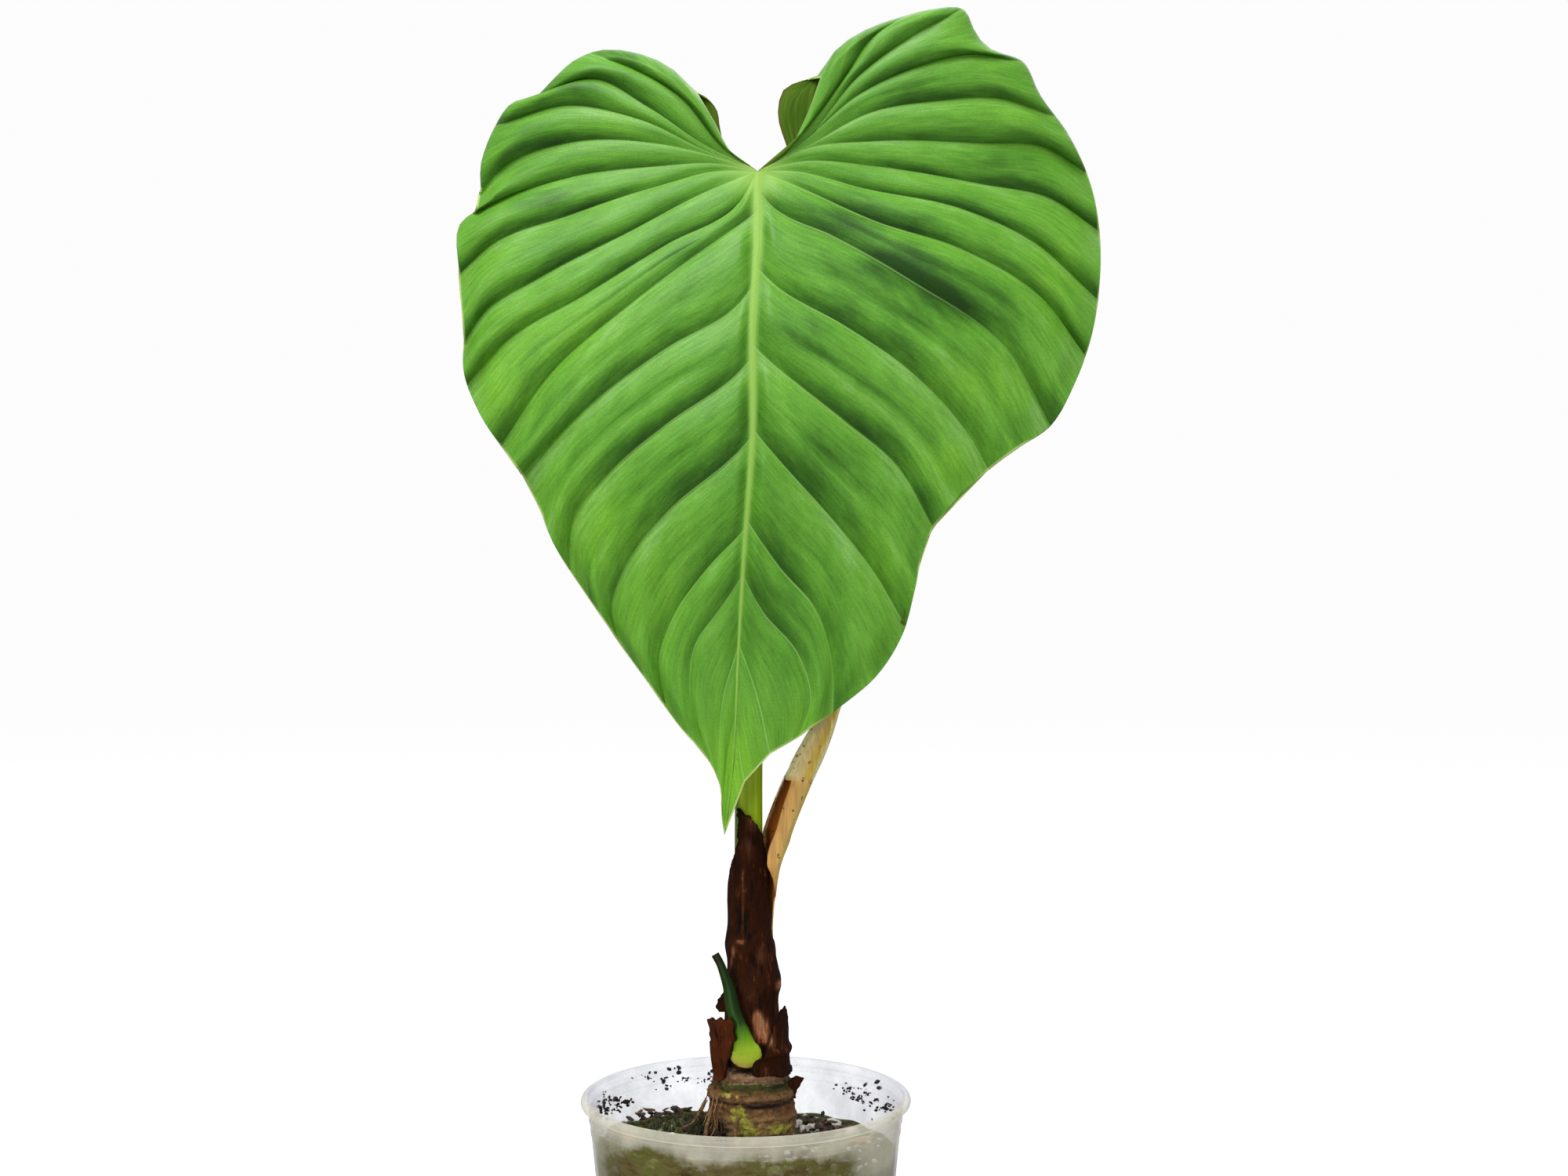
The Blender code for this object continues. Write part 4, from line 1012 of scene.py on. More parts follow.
def half_blade(name, ribs, outline, flaps, half_creases, numbers, starts, settings):
    """One half of the blade, as a grid from the midrib out and round the rolled lobes."""
    shares = 0.5 - 0.5 * np.cos(np.pi * np.linspace(0, 1, BLADE_COLUMNS))
    curves = np.stack([curve_points(rib, shares) for rib in ribs])
    flat = across_ribs(curves, numbers)
    edge_curve = curve_points(outline, np.linspace(0, 1, 3000))
    ends = [share_along(edge_curve, rib[-1]) for rib in ribs]
    edge_at = np.interp(numbers, range(len(ribs)), ends)
    edge = edge_curve[np.round(edge_at * 2999).astype(int)]
    flat += (shares**3)[None, :, None] * (edge - flat[:, -1])[:, None, :]
    flat += ((1 - shares) ** 8)[None, :, None] * (starts - flat[:, 0])[:, None, :]

    strip = np.clip(numbers.astype(int), 0, LAST_RIB - 1)
    share_over = numbers - strip
    steps = np.linalg.norm(np.diff(flat, axis=1), axis=2)
    along = np.concatenate([np.zeros((len(numbers), 1)), np.cumsum(steps, axis=1)], axis=1)
    to_edge = along[:, -1:] - along
    widths = np.linalg.norm(curves[1:] - curves[:-1], axis=2)[strip]
    f = share_over[:, None]
    crease = np.array([half_creases.get(k, 0.0) for k in strip])[:, None]
    crease = crease * smooth_step(shares, 0.08, 0.35)[None, :]
    bulge = np.sin(np.pi * f) ** 0.85
    bulge = bulge - crease * 0.9 * np.exp(-(np.abs(f - 0.52) / 0.13) ** 1.2) * np.sin(np.pi * f)
    bulge *= 1 + 0.18 * wander(along / 22, numbers[:, None] * 1.3, 5)
    x, z = flat[..., 0], flat[..., 1]
    off_rib = smooth_step(along, 1.0, 9.0)
    quilt = settings.quilting * np.minimum(widths, 22) * smooth_step(widths, 0, 9) * bulge * off_rib * (
        0.45 + 0.55 * smooth_step(to_edge, 0, 12)
    )
    quilt = quilt * (1 - 0.85 * smooth_step(numbers, 12.8, 15.2))[:, None]

    rolled = np.clip(1 - numbers / len(flaps), 0, 1)[:, None] ** 0.5
    radius = settings.roll_radius / MM * rolled
    inside = np.clip(1 - to_edge / np.maximum(radius, 1e-6), 0, 1)
    roll = radius * (1 - np.sqrt(1 - inside**2))
    ruffle = settings.ruffle / MM * np.sin(2 * np.pi * numbers + 0.6)[:, None] * shares[None, :] ** 4
    ruffle *= (1 - rolled) * (1 - smooth_step(numbers, 11.5, 15.0))[:, None]
    slow = 1.6 * wander(x / 34, z / 34, 9) * smooth_step(along, 5, 40)
    # A ridge along the midrib, narrowing from its top to the tip.
    drop = np.clip(-starts[:, 1] / -TIP[1], 0, 1)[:, None]
    rib_half = 2.6 * (1 - drop) ** 0.85 + 0.35
    ridge = 0.7 * (1 - 0.6 * drop) * np.exp(-((along / rib_half) ** 2))
    y = leaf_depth(x, z) + roll + ruffle + slow - quilt * (1 - 0.7 * inside) - ridge
    front = in_depth(x, z, y)

    # The flap behind a rolled lobe.
    back_shares = 0.5 - 0.5 * np.cos(np.pi * np.linspace(0, 1, FLAP_COLUMNS + 1))[1:]
    none = [(ribs[k][-1], ribs[k][-1]) for k in range(len(flaps), len(ribs))]
    flap_curves = np.stack([curve_points(flap, back_shares) for flap in [*flaps, *none]])
    low = np.clip(numbers.astype(int), 0, LAST_RIB - 1)
    t = (numbers - low)[:, None, None]
    # Close to the first rib the blade turns down at once, so that only the ear shows past it.
    ends = np.array([rib[-1] for rib in ribs])
    moved = flap_curves - ends[:, None, :]
    quick = np.where(low[:, None, None] == 0, smooth_step(t, 0, 0.12), t)
    drift = (1 - quick) * moved[low] + quick * moved[low + 1]
    settled = (1 - t) * flap_curves[low] + t * flap_curves[low + 1]
    late = smooth_step(back_shares, 0, 0.7)[None, :, None]
    flap = (1 - late) * (edge[:, None, :] + drift) + late * settled
    away = np.linalg.norm(flap - edge[:, None, :], axis=2)
    turn = np.clip(1 - away / np.maximum(radius, 1e-6), 0, 1)
    behind = y[:, -1:] + radius * np.sqrt(1 - turn**2) * (rolled > 0)
    back = in_depth(flap[..., 0], flap[..., 1], behind)

    whole = np.concatenate([front, back], axis=1)
    back_along = along[:, -1:] + away
    all_along = np.concatenate([along, back_along], axis=1)
    reach = np.concatenate([to_edge + away[:, -1:], away[:, -1:] - away], axis=1)
    wide = np.concatenate([widths, np.repeat(widths[:, -1:], FLAP_COLUMNS, axis=1)], axis=1)
    sinus = numbers[:, None] * np.maximum(wide, 0.5)
    root = np.hypot(whole[..., 0] - LEAF_JUNCTION[0], whole[..., 2] - 477)
    # Painted sheen just below a rib, and painted shade deepening to its darkest just above the next, and
    # again at half creases, where the quilted strips face up or down.
    full = np.concatenate([crease, np.repeat(crease[:, -1:], FLAP_COLUMNS, axis=1)], axis=1)
    shade = 0.5 * np.exp(-((f / 0.25) ** 2)) - 0.8 * smooth_step(f, 0.55, 0.99)
    shade = shade * (0.85 + 0.4 * wander(all_along / 26, numbers[:, None] * 0.9, 15))
    shade = shade + full * (
        0.7 * np.exp(-((f - 0.6) / 0.07) ** 2) - 0.9 * np.exp(-((f - 0.46) / 0.08) ** 2)
    )
    shade = shade * smooth_step(wide, 1.0, 14.0) * (
        1 - 0.5 * smooth_step(numbers, 10.5, 14) - 0.42 * smooth_step(numbers, 13.0, 15.0)
    )[:, None]
    flat_x = np.concatenate([x, flap[..., 0]], axis=1)
    flat_z = np.concatenate([z, flap[..., 1]], axis=1)
    tone = spots(flat_x, flat_z, LEAF_SHADE_AND_TINT_SPOTS)
    # The shade fact holds this painted sheen and shade, plus the painted shade of the darker broad spots.
    facts = {
        "vein": np.minimum(f, 1 - f) * wide, "shade": shade + 0.75 * np.minimum(tone, 0) + 0.2 * tone,
        "warm": np.maximum(tone, 0), "along": all_along, "lay": numbers[:, None] * 17 + 0 * wide,
        "midrib": all_along / rib_half,
        "edge": np.minimum(reach, np.where(numbers[:, None] < 1, sinus, 99)), "root": root,
    }
    return laid_grid(name, whole, facts)


class PHILO_OT_leaf(bpy.types.Operator):
    """Lays the quilted heart-shaped blade, rolls its rear lobes back and gives it both skins"""

    bl_idname = "philo.leaf"
    bl_label = "Leaf blade"

    def execute(self, context):
        settings = context.scene.philo_leaf
        per_strip = np.array(ROW_SHARES)
        upper = np.concatenate([k + per_strip for k in range(BASAL_RIBS)])
        lower = np.concatenate([k + per_strip for k in range(BASAL_RIBS, LAST_RIB)] + [[LAST_RIB]])
        midrib = curve_points(MIDRIB, np.linspace(0, 1, 3000))
        sides = (
            ("blade_right", RIBS_RIGHT, OUTLINE_RIGHT, FLAPS_RIGHT, HALF_CREASES_RIGHT),
            ("blade_left", RIBS_LEFT, OUTLINE_LEFT, FLAPS_LEFT, HALF_CREASES_LEFT),
        )
        rib_starts = [[share_along(midrib, rib[0]) for rib in side[1][BASAL_RIBS:]] for side in sides]
        numbers = range(BASAL_RIBS, LAST_RIB + 1)
        stations = np.unique(np.round([np.interp(lower, numbers, starts) for starts in rib_starts], 5))
        halves = []
        for side, starts in zip(sides, rib_starts):
            rows = np.concatenate([upper, np.interp(stations, starts, numbers)])
            at = np.concatenate([np.zeros(len(upper)), stations])
            points = midrib[np.round(at * 2999).astype(int)]
            halves.append(half_blade(*side, rows, points, settings))
        blade = joined("leaf_blade_skin", halves)
        welded(blade, 0.03)
        self.face_forward(blade)
        blade.data.materials.clear()
        blade.data.materials.append(leaf_upper_skin(LeafColours))
        blade.data.materials.append(leaf_under_skin(LeafColours))
        thickened(blade, settings.thickness / MM, under=True)
        finish_piece(blade, None, "leaf", "leaf_blade", smooth=math.radians(75))
        return {"FINISHED"}

    @staticmethod
    def face_forward(blade):
        """Turns the open sheet so that its upper skin faces the front."""
        total = sum(face.normal.y * face.area for face in blade.data.polygons)
        if total > 0:
            only(blade)
            bpy.ops.object.mode_set(mode="EDIT")
            bpy.ops.mesh.select_all(action="SELECT")
            bpy.ops.mesh.flip_normals()
            bpy.ops.object.mode_set(mode="OBJECT")


class PHILO_OT_petiole(bpy.types.Operator):
    """Sweeps the petiole from the stem to the back of the blade"""

    bl_idname = "philo.petiole"
    bl_label = "Petiole"

    def execute(self, context):
        shares = np.linspace(0, 1, 90)
        path = curve_points(PETIOLE_ROUTE, shares)
        radii = np.interp(shares, np.linspace(0, 1, len(PETIOLE_RADII)), PETIOLE_RADII)

        def flute(angles, share):
            return 1 - 0.05 * np.cos(3 * angles + 0.5) + 0.012 * np.sin(14 * angles)

        grid = tube_grid(path, radii, radii, 48, flute)
        angles = np.linspace(0, 2 * np.pi, 49)
        shares = np.concatenate([[0, 0, 0], shares, [1, 1, 1]])[:, None]
        middle = grid.mean(axis=1, keepdims=True)
        # The left side of the petiole is marked for painted shade.
        side = (grid - middle)[..., 0] / np.maximum(
            np.abs((grid - middle)[..., 0]).max(axis=1, keepdims=True), 0.01,
        )
        facts = {"painted_shade_side": smooth_step(-side, 0.45, 0.75) * 0.85 + 0 * angles, "height": shares + 0 * side}
        piece = laid_grid("petiole_skin", grid, facts)
        welded(piece, 0.01)
        finish_piece(piece, petiole_skin(), "petiole", "petiole")
        return {"FINISHED"}


# ---------------------------------------------------------------- sheaths


def sheath_piece(name, rows, count, columns, seed, crumple, jag, top_jag, thickness, under=False):
    """A dry sheath: an arc at each height, crumpled, with ragged sides and top.

    It stores as facts how far across and up each point is, and how far from its edges.
    """
    shares = np.linspace(0, 1, count)
    table = curve_points(rows, shares)
    across = np.linspace(0, 1, columns)[None, :]
    up = shares[:, None]
    z, x, y, radius, start, end = (table[:, k : k + 1] for k in range(6))
    length = abs(rows[-1][0] - rows[0][0])
    side = smooth_step(np.abs(across - 0.5), 0.25, 0.5) * np.sign(across - 0.5)
    ragged = wander(up * length / 1.6, across * 0.4 + 0 * up, seed)
    ragged = ragged + 0.7 * wander(up * length / 0.55, across * 0.4 + 0 * up, seed + 1)
    angle = start + (end - start) * across + jag * side * ragged * 57 / np.maximum(radius, 3)
    turn = np.radians(angle)
    bend = radius * turn
    fade = np.minimum(1, 4 * (1 - up))
    r = radius + crumple * (0.4 + 0.6 * fade) * wander(bend / 2.2, z / 8.0, seed + 2)
    r = r + 0.45 * crumple * wander(bend / 0.8, z / 3.0, seed + 3)
    torn = top_jag * smooth_step(up, 0.6, 1.0) * (wander(bend / 1.3, 0 * z, seed + 4) - 0.1)
    points = np.stack([x + r * np.cos(turn), y + r * np.sin(turn), z + torn + 0 * across], axis=-1)
    sides_away = np.radians(np.abs(end - start)) * radius * np.minimum(across, 1 - across)
    rim = np.minimum(sides_away, (1 - up) * length)
    facts = {"across": across + 0 * up, "height": up + 0 * across, "rim": rim}
    facts["rust"] = spots(points[..., 0], points[..., 2], SHEATH_RUST) * (points[..., 1] < y)
    facts["wing"] = smooth_step(z, 239, 243) * (1 - smooth_step(across, 0.1, 0.3))
    piece = laid_grid(name, points, facts)
    welded(piece, 0.01)
    thickened(piece, thickness, under)
    return piece


class PHILO_OT_sheaths(bpy.types.Operator):
    """Wraps the long dry sheath, the fading sheath and the torn remains round the petiole and stem"""

    bl_idname = "philo.sheaths"
    bl_label = "Sheaths"

    def execute(self, context):
        dark = dry_sheath_skin("Dried sheath, dark brown", "#110602", "#2a1205", "#6a3c20", "#8a4826")
        rust = dry_sheath_skin("Dried sheath, rusty brown", "#1e0b04", "#441e0a", "#744026", "#804620")
        outer = fading_sheath_skin(
            "Fading sheath, papery outer skin",
            (
                (0.0, "#d59f58"), (0.1, "#dcaa62"), (0.24, "#dcb86c"), (0.33, "#d4b43a"),
                (0.4, "#efe0a0"), (0.5, "#e6d698"), (1.0, "#a47a38"),
            ),
        )
        inner = fading_sheath_skin(
            "Fading sheath, brown inner skin",
            ((0.0, "#a46c2e"), (0.35, "#985a20"), (0.7, "#a86628"), (0.9, "#8c4a16"), (0.97, "#e2cf98")),
        )
        piece = sheath_piece("long_sheath_skin", LONG_SHEATH, 260, 130, 11, 0.32, 0.35, 0.5, 0.5)
        finish_piece(piece, dark, "dry_sheath", "long_sheath")
        piece = sheath_piece("fading_sheath_skin", FADING_SHEATH, 200, 80, 21, 0.12, 0.05, 0.1, 0.5)
        piece = self.lined(piece, FADING_SHEATH, outer, inner)
        finish_piece(piece, None, "fading_sheath", "fading_sheath")
        for name, rows, seed, skin in (
            ("torn_sheath_left", TORN_LEFT, 31, rust), ("torn_sheath_right", TORN_RIGHT, 41, dark),
            ("torn_sheath_back", TORN_BACK, 51, dark),
        ):
            piece = sheath_piece(name + "_skin", rows, 110, 90, seed, 0.32, 0.45, 1.0, 0.5)
            finish_piece(piece, skin, "dry_sheath", name)
        for k, rows in enumerate(SCRAPS):
            piece = sheath_piece(f"torn_scrap_{k + 1}", rows, 60, 50, 71 + k, 0.35, 0.5, 0.6, 0.4)
            finish_piece(piece, dark, "dry_sheath")
        return {"FINISHED"}

    @staticmethod
    def lined(piece, rows, outer, inner):
        """Gives the faces that look away from the sheath's own middle one skin and the rest the other."""
        heights, middles_x, middles_y, *_ = (np.array(column, float) for column in zip(*rows))
        piece.data.materials.clear()
        piece.data.materials.append(outer)
        piece.data.materials.append(inner)
        for face in piece.data.polygons:
            z = face.center.z / MM
            out_x = face.center.x / MM - np.interp(z, heights, middles_x)
            out_y = face.center.y / MM - np.interp(z, heights, middles_y)
            face.material_index = 0 if face.normal.x * out_x + face.normal.y * out_y > 0 else 1
        return piece


class PHILO_OT_stub(bpy.types.Operator):
    """Sweeps the cut petiole stub, fanned out at its foot and healed at its tip"""

    bl_idname = "philo.stub"
    bl_label = "Petiole stub"

    def execute(self, context):
        shares = np.linspace(0, 1, 60)
        path = curve_points([middle for middle, _, _ in STUB_ROUTE], shares)
        steps = np.linalg.norm(np.diff([middle for middle, _, _ in STUB_ROUTE], axis=0), axis=1)
        knots = np.concatenate([[0], np.cumsum(steps)]) / steps.sum()
        widths = np.interp(shares, knots, [width for _, width, _ in STUB_ROUTE])
        depths = np.interp(shares, knots, [depth for _, _, depth in STUB_ROUTE])
        grid = tube_grid(path, widths, depths, 36)
        up = np.concatenate([[0, 0, 0], shares, [1.05, 1.1, 1.1]])[:, None]
        angles = np.linspace(0, 2 * np.pi, grid.shape[1])[None, :]
        out = grid[..., 0] - grid[..., 0].mean(axis=1, keepdims=True)
        out = out / np.maximum(np.abs(out).max(axis=1, keepdims=True), 0.01)
        # Painted shade on the right side and the far left edge, above the foot.
        painted_shade_side = 0.9 * smooth_step(out, -0.1, 0.4) + 0.7 * smooth_step(-out, 0.75, 0.98)
        painted_shade_side = painted_shade_side * smooth_step(up, 0.28, 0.5)
        piece = laid_grid("petiole_stub_skin", grid, {"height": up + 0 * angles, "painted_shade_side": painted_shade_side})
        welded(piece, 0.01)
        finish_piece(piece, stub_skin(), "petiole", "petiole_stub")
        return {"FINISHED"}


class PHILO_OT_stem(bpy.types.Operator):
    """Turns the short ringed stem and roughens its corky skin"""

    bl_idname = "philo.stem"
    bl_label = "Stem"

    def execute(self, context):
        heights, radii = zip(*STEM_PROFILE)
        z = np.linspace(heights[0], heights[-1], 170)
        smooth = curve_points(np.column_stack([heights, radii]), np.linspace(0, 1, 400))
        profile = [(0.0, z[0])] + [
            (max(1.0, np.interp(h, smooth[:, 0], smooth[:, 1])), h)
            for h in z
        ] + [(0.0, z[-1])]
        piece = turned("stem_skin", profile, 160, STEM_AXIS)

        def roughen(places):
            x, y = places[:, 0] - STEM_AXIS[0], places[:, 1] - STEM_AXIS[1]
            turn = np.arctan2(y, x)
            r = np.hypot(x, y)
            rise = places[:, 2] + 0.8 * np.sin(2 * turn + 0.7)
            scars = sum(np.exp(-(((rise - at) / 0.6) ** 2)) for at in (109.5, 117.8, 119.6, 126.0))
            cracks = sum(np.exp(-(((rise - at) / 0.5) ** 2)) for at in (116.2, 121.2, 123.9))
            bark = wander(turn * 5, rise / 1.6, 61) + 0.6 * wander(turn * 13, rise / 0.8, 62)
            grown = 0.4 * scars - 0.6 * cracks + 0.3 * bark + 0.25 * wander(turn * 30, rise / 0.6, 63)
            scale = np.where(r > 4, (r + grown) / np.maximum(r, 1e-3), 1)
            places[:, 0] = STEM_AXIS[0] + x * scale
            places[:, 1] = STEM_AXIS[1] + y * scale
            return places

        moved_verts(piece, roughen)
        places = places_of(piece)
        front = places[:, 1] < STEM_AXIS[1]
        set_fact(piece, "height", places[:, 2])
        set_fact(piece, "green", spots(places[:, 0], places[:, 2], STEM_GREEN) * front)
        set_fact(piece, "red", spots(places[:, 0], places[:, 2], STEM_RED) * front)
        set_fact(piece, "dark", spots(places[:, 0], places[:, 2], STEM_SHADE_AND_DARK) * front)
        finish_piece(piece, stem_bark(), "stem", "stem")
        return {"FINISHED"}


class PHILO_OT_roots(bpy.types.Operator):
    """Sweeps the thin roots that run from the stem over the mix"""

    bl_idname = "philo.roots"
    bl_label = "Surface roots"

    def execute(self, context):
        skin = speckled(
            "Root, dry skin", 900.0, ((0.35, "#2c1a0c"), (0.55, "#6a4a26"), (0.75, "#a88252")), 0.75, 0.0004
        )
        for k, (route, near, far) in enumerate(SURFACE_ROOTS):
            shares = np.linspace(0, 1, 40)
            path = curve_points(route, shares)
            path[:, 0] += 0.3 * wander(shares * 14, 0 * shares, 70 + k)
            radii = near + (far - near) * shares
            piece = laid_grid(f"surface_root_{k + 1}_skin", tube_grid(path, radii, radii, 12), {"tone": 0.0})
            welded(piece, 0.01)
            finish_piece(piece, skin, "root", f"surface_root_{k + 1}")
        random = np.random.default_rng(77)
        fibres = []
        for k in range(26):
            turn = math.radians(random.uniform(178, 238))
            out, high = random.uniform(18.2, 19.2), random.uniform(107, 119)
            route = [
                (out + away, high - drop)
                for away, drop in ((0, 0), (random.uniform(0.6, 2.4), random.uniform(2, 4)))
            ]
            route.append((out + random.uniform(1, 6), random.uniform(101.5, 106)))
            path = [
                (
                    STEM_AXIS[0] + r * math.cos(turn + 0.04 * i * (k % 3 - 1)),
                    r * math.sin(turn + 0.04 * i * (k % 3 - 1)), z,
                )
                for i, (r, z) in enumerate(route)
            ]
            shares = np.linspace(0, 1, 18)
            path = curve_points(path, shares)
            path[:, 0] += 0.25 * wander(shares * 9, 0 * shares, 170 + k)
            radii = np.full(18, random.uniform(0.1, 0.24))
            fibres.append(
                laid_grid(
                    f'fibre_{k}', tube_grid(path, radii, radii, 5),
                    {"tone": random.uniform(-0.15, 0.3)},
                )
            )
        piece = joined("root_fibres", fibres)
        welded(piece, 0.001)
        finish_piece(piece, skin, "root")
        for k in range(5):
            bpy.data.objects[f"soil_root_{k + 1}"].data.materials.clear()
            bpy.data.objects[f"soil_root_{k + 1}"].data.materials.append(skin)
        return {"FINISHED"}


# ---------------------------------------------------------------- pot and mix


class PHILO_OT_pot(bpy.types.Operator):
    """Spins the thin pot with its beads and rolled lip, and cuts its drain holes"""

    bl_idname = "philo.pot"
    bl_label = "Nursery pot"

    def execute(self, context):
        settings = context.scene.philo_pot
        top = round(settings.height / MM, 3)
        collar = wall_radius(COLLAR_FOOT) + COLLAR_STEP
        outside = [(0, 0), (BASE_RADIUS - 2, 0), (BASE_RADIUS - 0.5, 0.5), (BASE_RADIUS, 1.8)]
        outside += [(wall_radius(z), z) for z in np.linspace(4, 102, 20)]
        outside += [(collar - 0.15, 102.8), (collar, 103.6)]
        for bead in BEAD_HEIGHTS:
            outside += [
                (collar + 0.65 * math.exp(-((z - bead) / 0.45) ** 2), z)
                for z in np.linspace(bead - 1.2, bead + 1.2, 9)
            ]
        lip = [
            (LIP_RADIUS + 1.9 * math.cos(t) - 1.9, top - 1.9 + 1.9 * math.sin(t))
            for t in np.linspace(-1.9, 1.9, 12)
        ]
        inside = [
            (collar + 1.2, 115.0), (collar + 0.1, 114.0), (collar - WALL, 112.0),
            (collar - WALL, 103.6),
        ]
        inside += [(wall_radius(z) - WALL, z) for z in np.linspace(102, 3.5, 20)]
        inside += [(BASE_RADIUS - 1.4, 1.8), (BASE_RADIUS - 2.6, WALL), (0, WALL)]
        pot = turned("nursery_pot_skin", outside + lip + inside, 180)
        for k in range(DRAIN_HOLES):
            turn = 2 * math.pi * (k + 0.5) / DRAIN_HOLES
            drill = primitive(
                "cylinder", "drain_cutter", vertices=32, radius=DRAIN_RADIUS * MM, depth=6 * MM,
                location=[DRAIN_CIRCLE * MM * c for c in (math.cos(turn), math.sin(turn), 0)],
            )
            only(pot)
            hole = pot.modifiers.new("drain", "BOOLEAN")
            hole.object = drill
            hole.solver = "EXACT"
            bpy.ops.object.modifier_apply(modifier=hole.name)
            bpy.data.objects.remove(drill)
        finish_piece(
            pot, pot_plastic(settings.clearness, settings.tint), "pot_plastic", "nursery_pot",
            smooth=math.radians(35),
        )
        return {"FINISHED"}


class PHILO_OT_mix(bpy.types.Operator):
    """Turns the block of mix and gives it an uneven crumbly skin"""

    bl_idname = "philo.mix"
    bl_label = "Potting mix"

    def execute(self, context):
        clear = WALL + 0.35
        profile = [(0, 1.4)] + [(r, 1.4) for r in np.linspace(4, BASE_RADIUS - clear - 1.2, 10)]
        profile += [(wall_radius(z) - clear, z) for z in np.linspace(3, MIX_LEVEL - 1, 60)]
        profile += [(r, MIX_LEVEL) for r in np.linspace(wall_radius(MIX_LEVEL) - clear, 1.0, 60)]
        profile += [(0, MIX_LEVEL)]
        piece = turned("potting_mix_skin", profile, 200)
        wall = []

        def settle(places):
            x, y, z = places.T
            r = np.hypot(x, y)
            top = smooth_step(z, MIX_LEVEL - 30, MIX_LEVEL - 0.5)
            rise = mix_height(x, y) - MIX_LEVEL
            edge = smooth_step(wall_radius(MIX_LEVEL) - clear - r, 0, 2)
            crumb = 0.5 * wander(x / 1.5, y / 1.5, 81) + 0.3 * wander(x / 0.6, y / 0.6, 82)
            on_top = (z > MIX_LEVEL - 0.6).astype(float)
            places[:, 2] = z + top * rise + on_top * edge * crumb
            wall.extend(1 - 0.6 * on_top * edge)
            return places

        moved_verts(piece, settle)
        set_fact(piece, "wall", wall)
        finish_piece(piece, damp_mix(), "potting_mix", "potting_mix")
        return {"FINISHED"}


def scattered(name, count, seed, place_one):
    """Many small lumps as one mesh: place_one gives (x, y, z, size, tone, flatness) for each."""
    random = np.random.default_rng(seed)
    source = primitive("ico_sphere", name + "_source", subdivisions=1, radius=1)
    base = places_of(source) * MM
    faces = np.array([p.vertices[:] for p in source.data.polygons])
    bpy.data.objects.remove(source)
    points, polygons, tones = [], [], []
    for _ in range(count):
        found = place_one(random)
        if found is None:
            continue
        x, y, z, size, tone, flatness = found
        lump = base * (1 + 0.35 * (random.random(len(base)) - 0.5))[:, None]
        lump = lump * size * np.array([1.0, random.uniform(0.35, 0.9), flatness])
        turn = random.uniform(0, 2 * np.pi)
        lean = random.normal(0, 0.35)
        cos_t, sin_t, cos_l, sin_l = np.cos(turn), np.sin(turn), np.cos(lean), np.sin(lean)
        lx, lz = lump[:, 0] * cos_l - lump[:, 2] * sin_l, lump[:, 0] * sin_l + lump[:, 2] * cos_l
        lump = np.column_stack([cos_t * lx - sin_t * lump[:, 1], sin_t * lx + cos_t * lump[:, 1], lz])
        polygons.append(faces + sum(map(len, points)))
        points.append(lump + (x, y, z))
        tones.append(np.full(len(base), tone))
    faces = np.concatenate(polygons).tolist()
    return new_piece(name, np.concatenate(points), faces, tone=np.concatenate(tones))


def on_mix(random, reach=55.0):
    """A random place on the mix's surface, clear of the stem."""
    while True:
        x, y = random.uniform(-reach, reach, 2)
        if 17.5 < math.hypot(x - STEM_AXIS[0], y - STEM_AXIS[1]) and math.hypot(x, y) < reach:
            return x, y, mix_height(x, y)


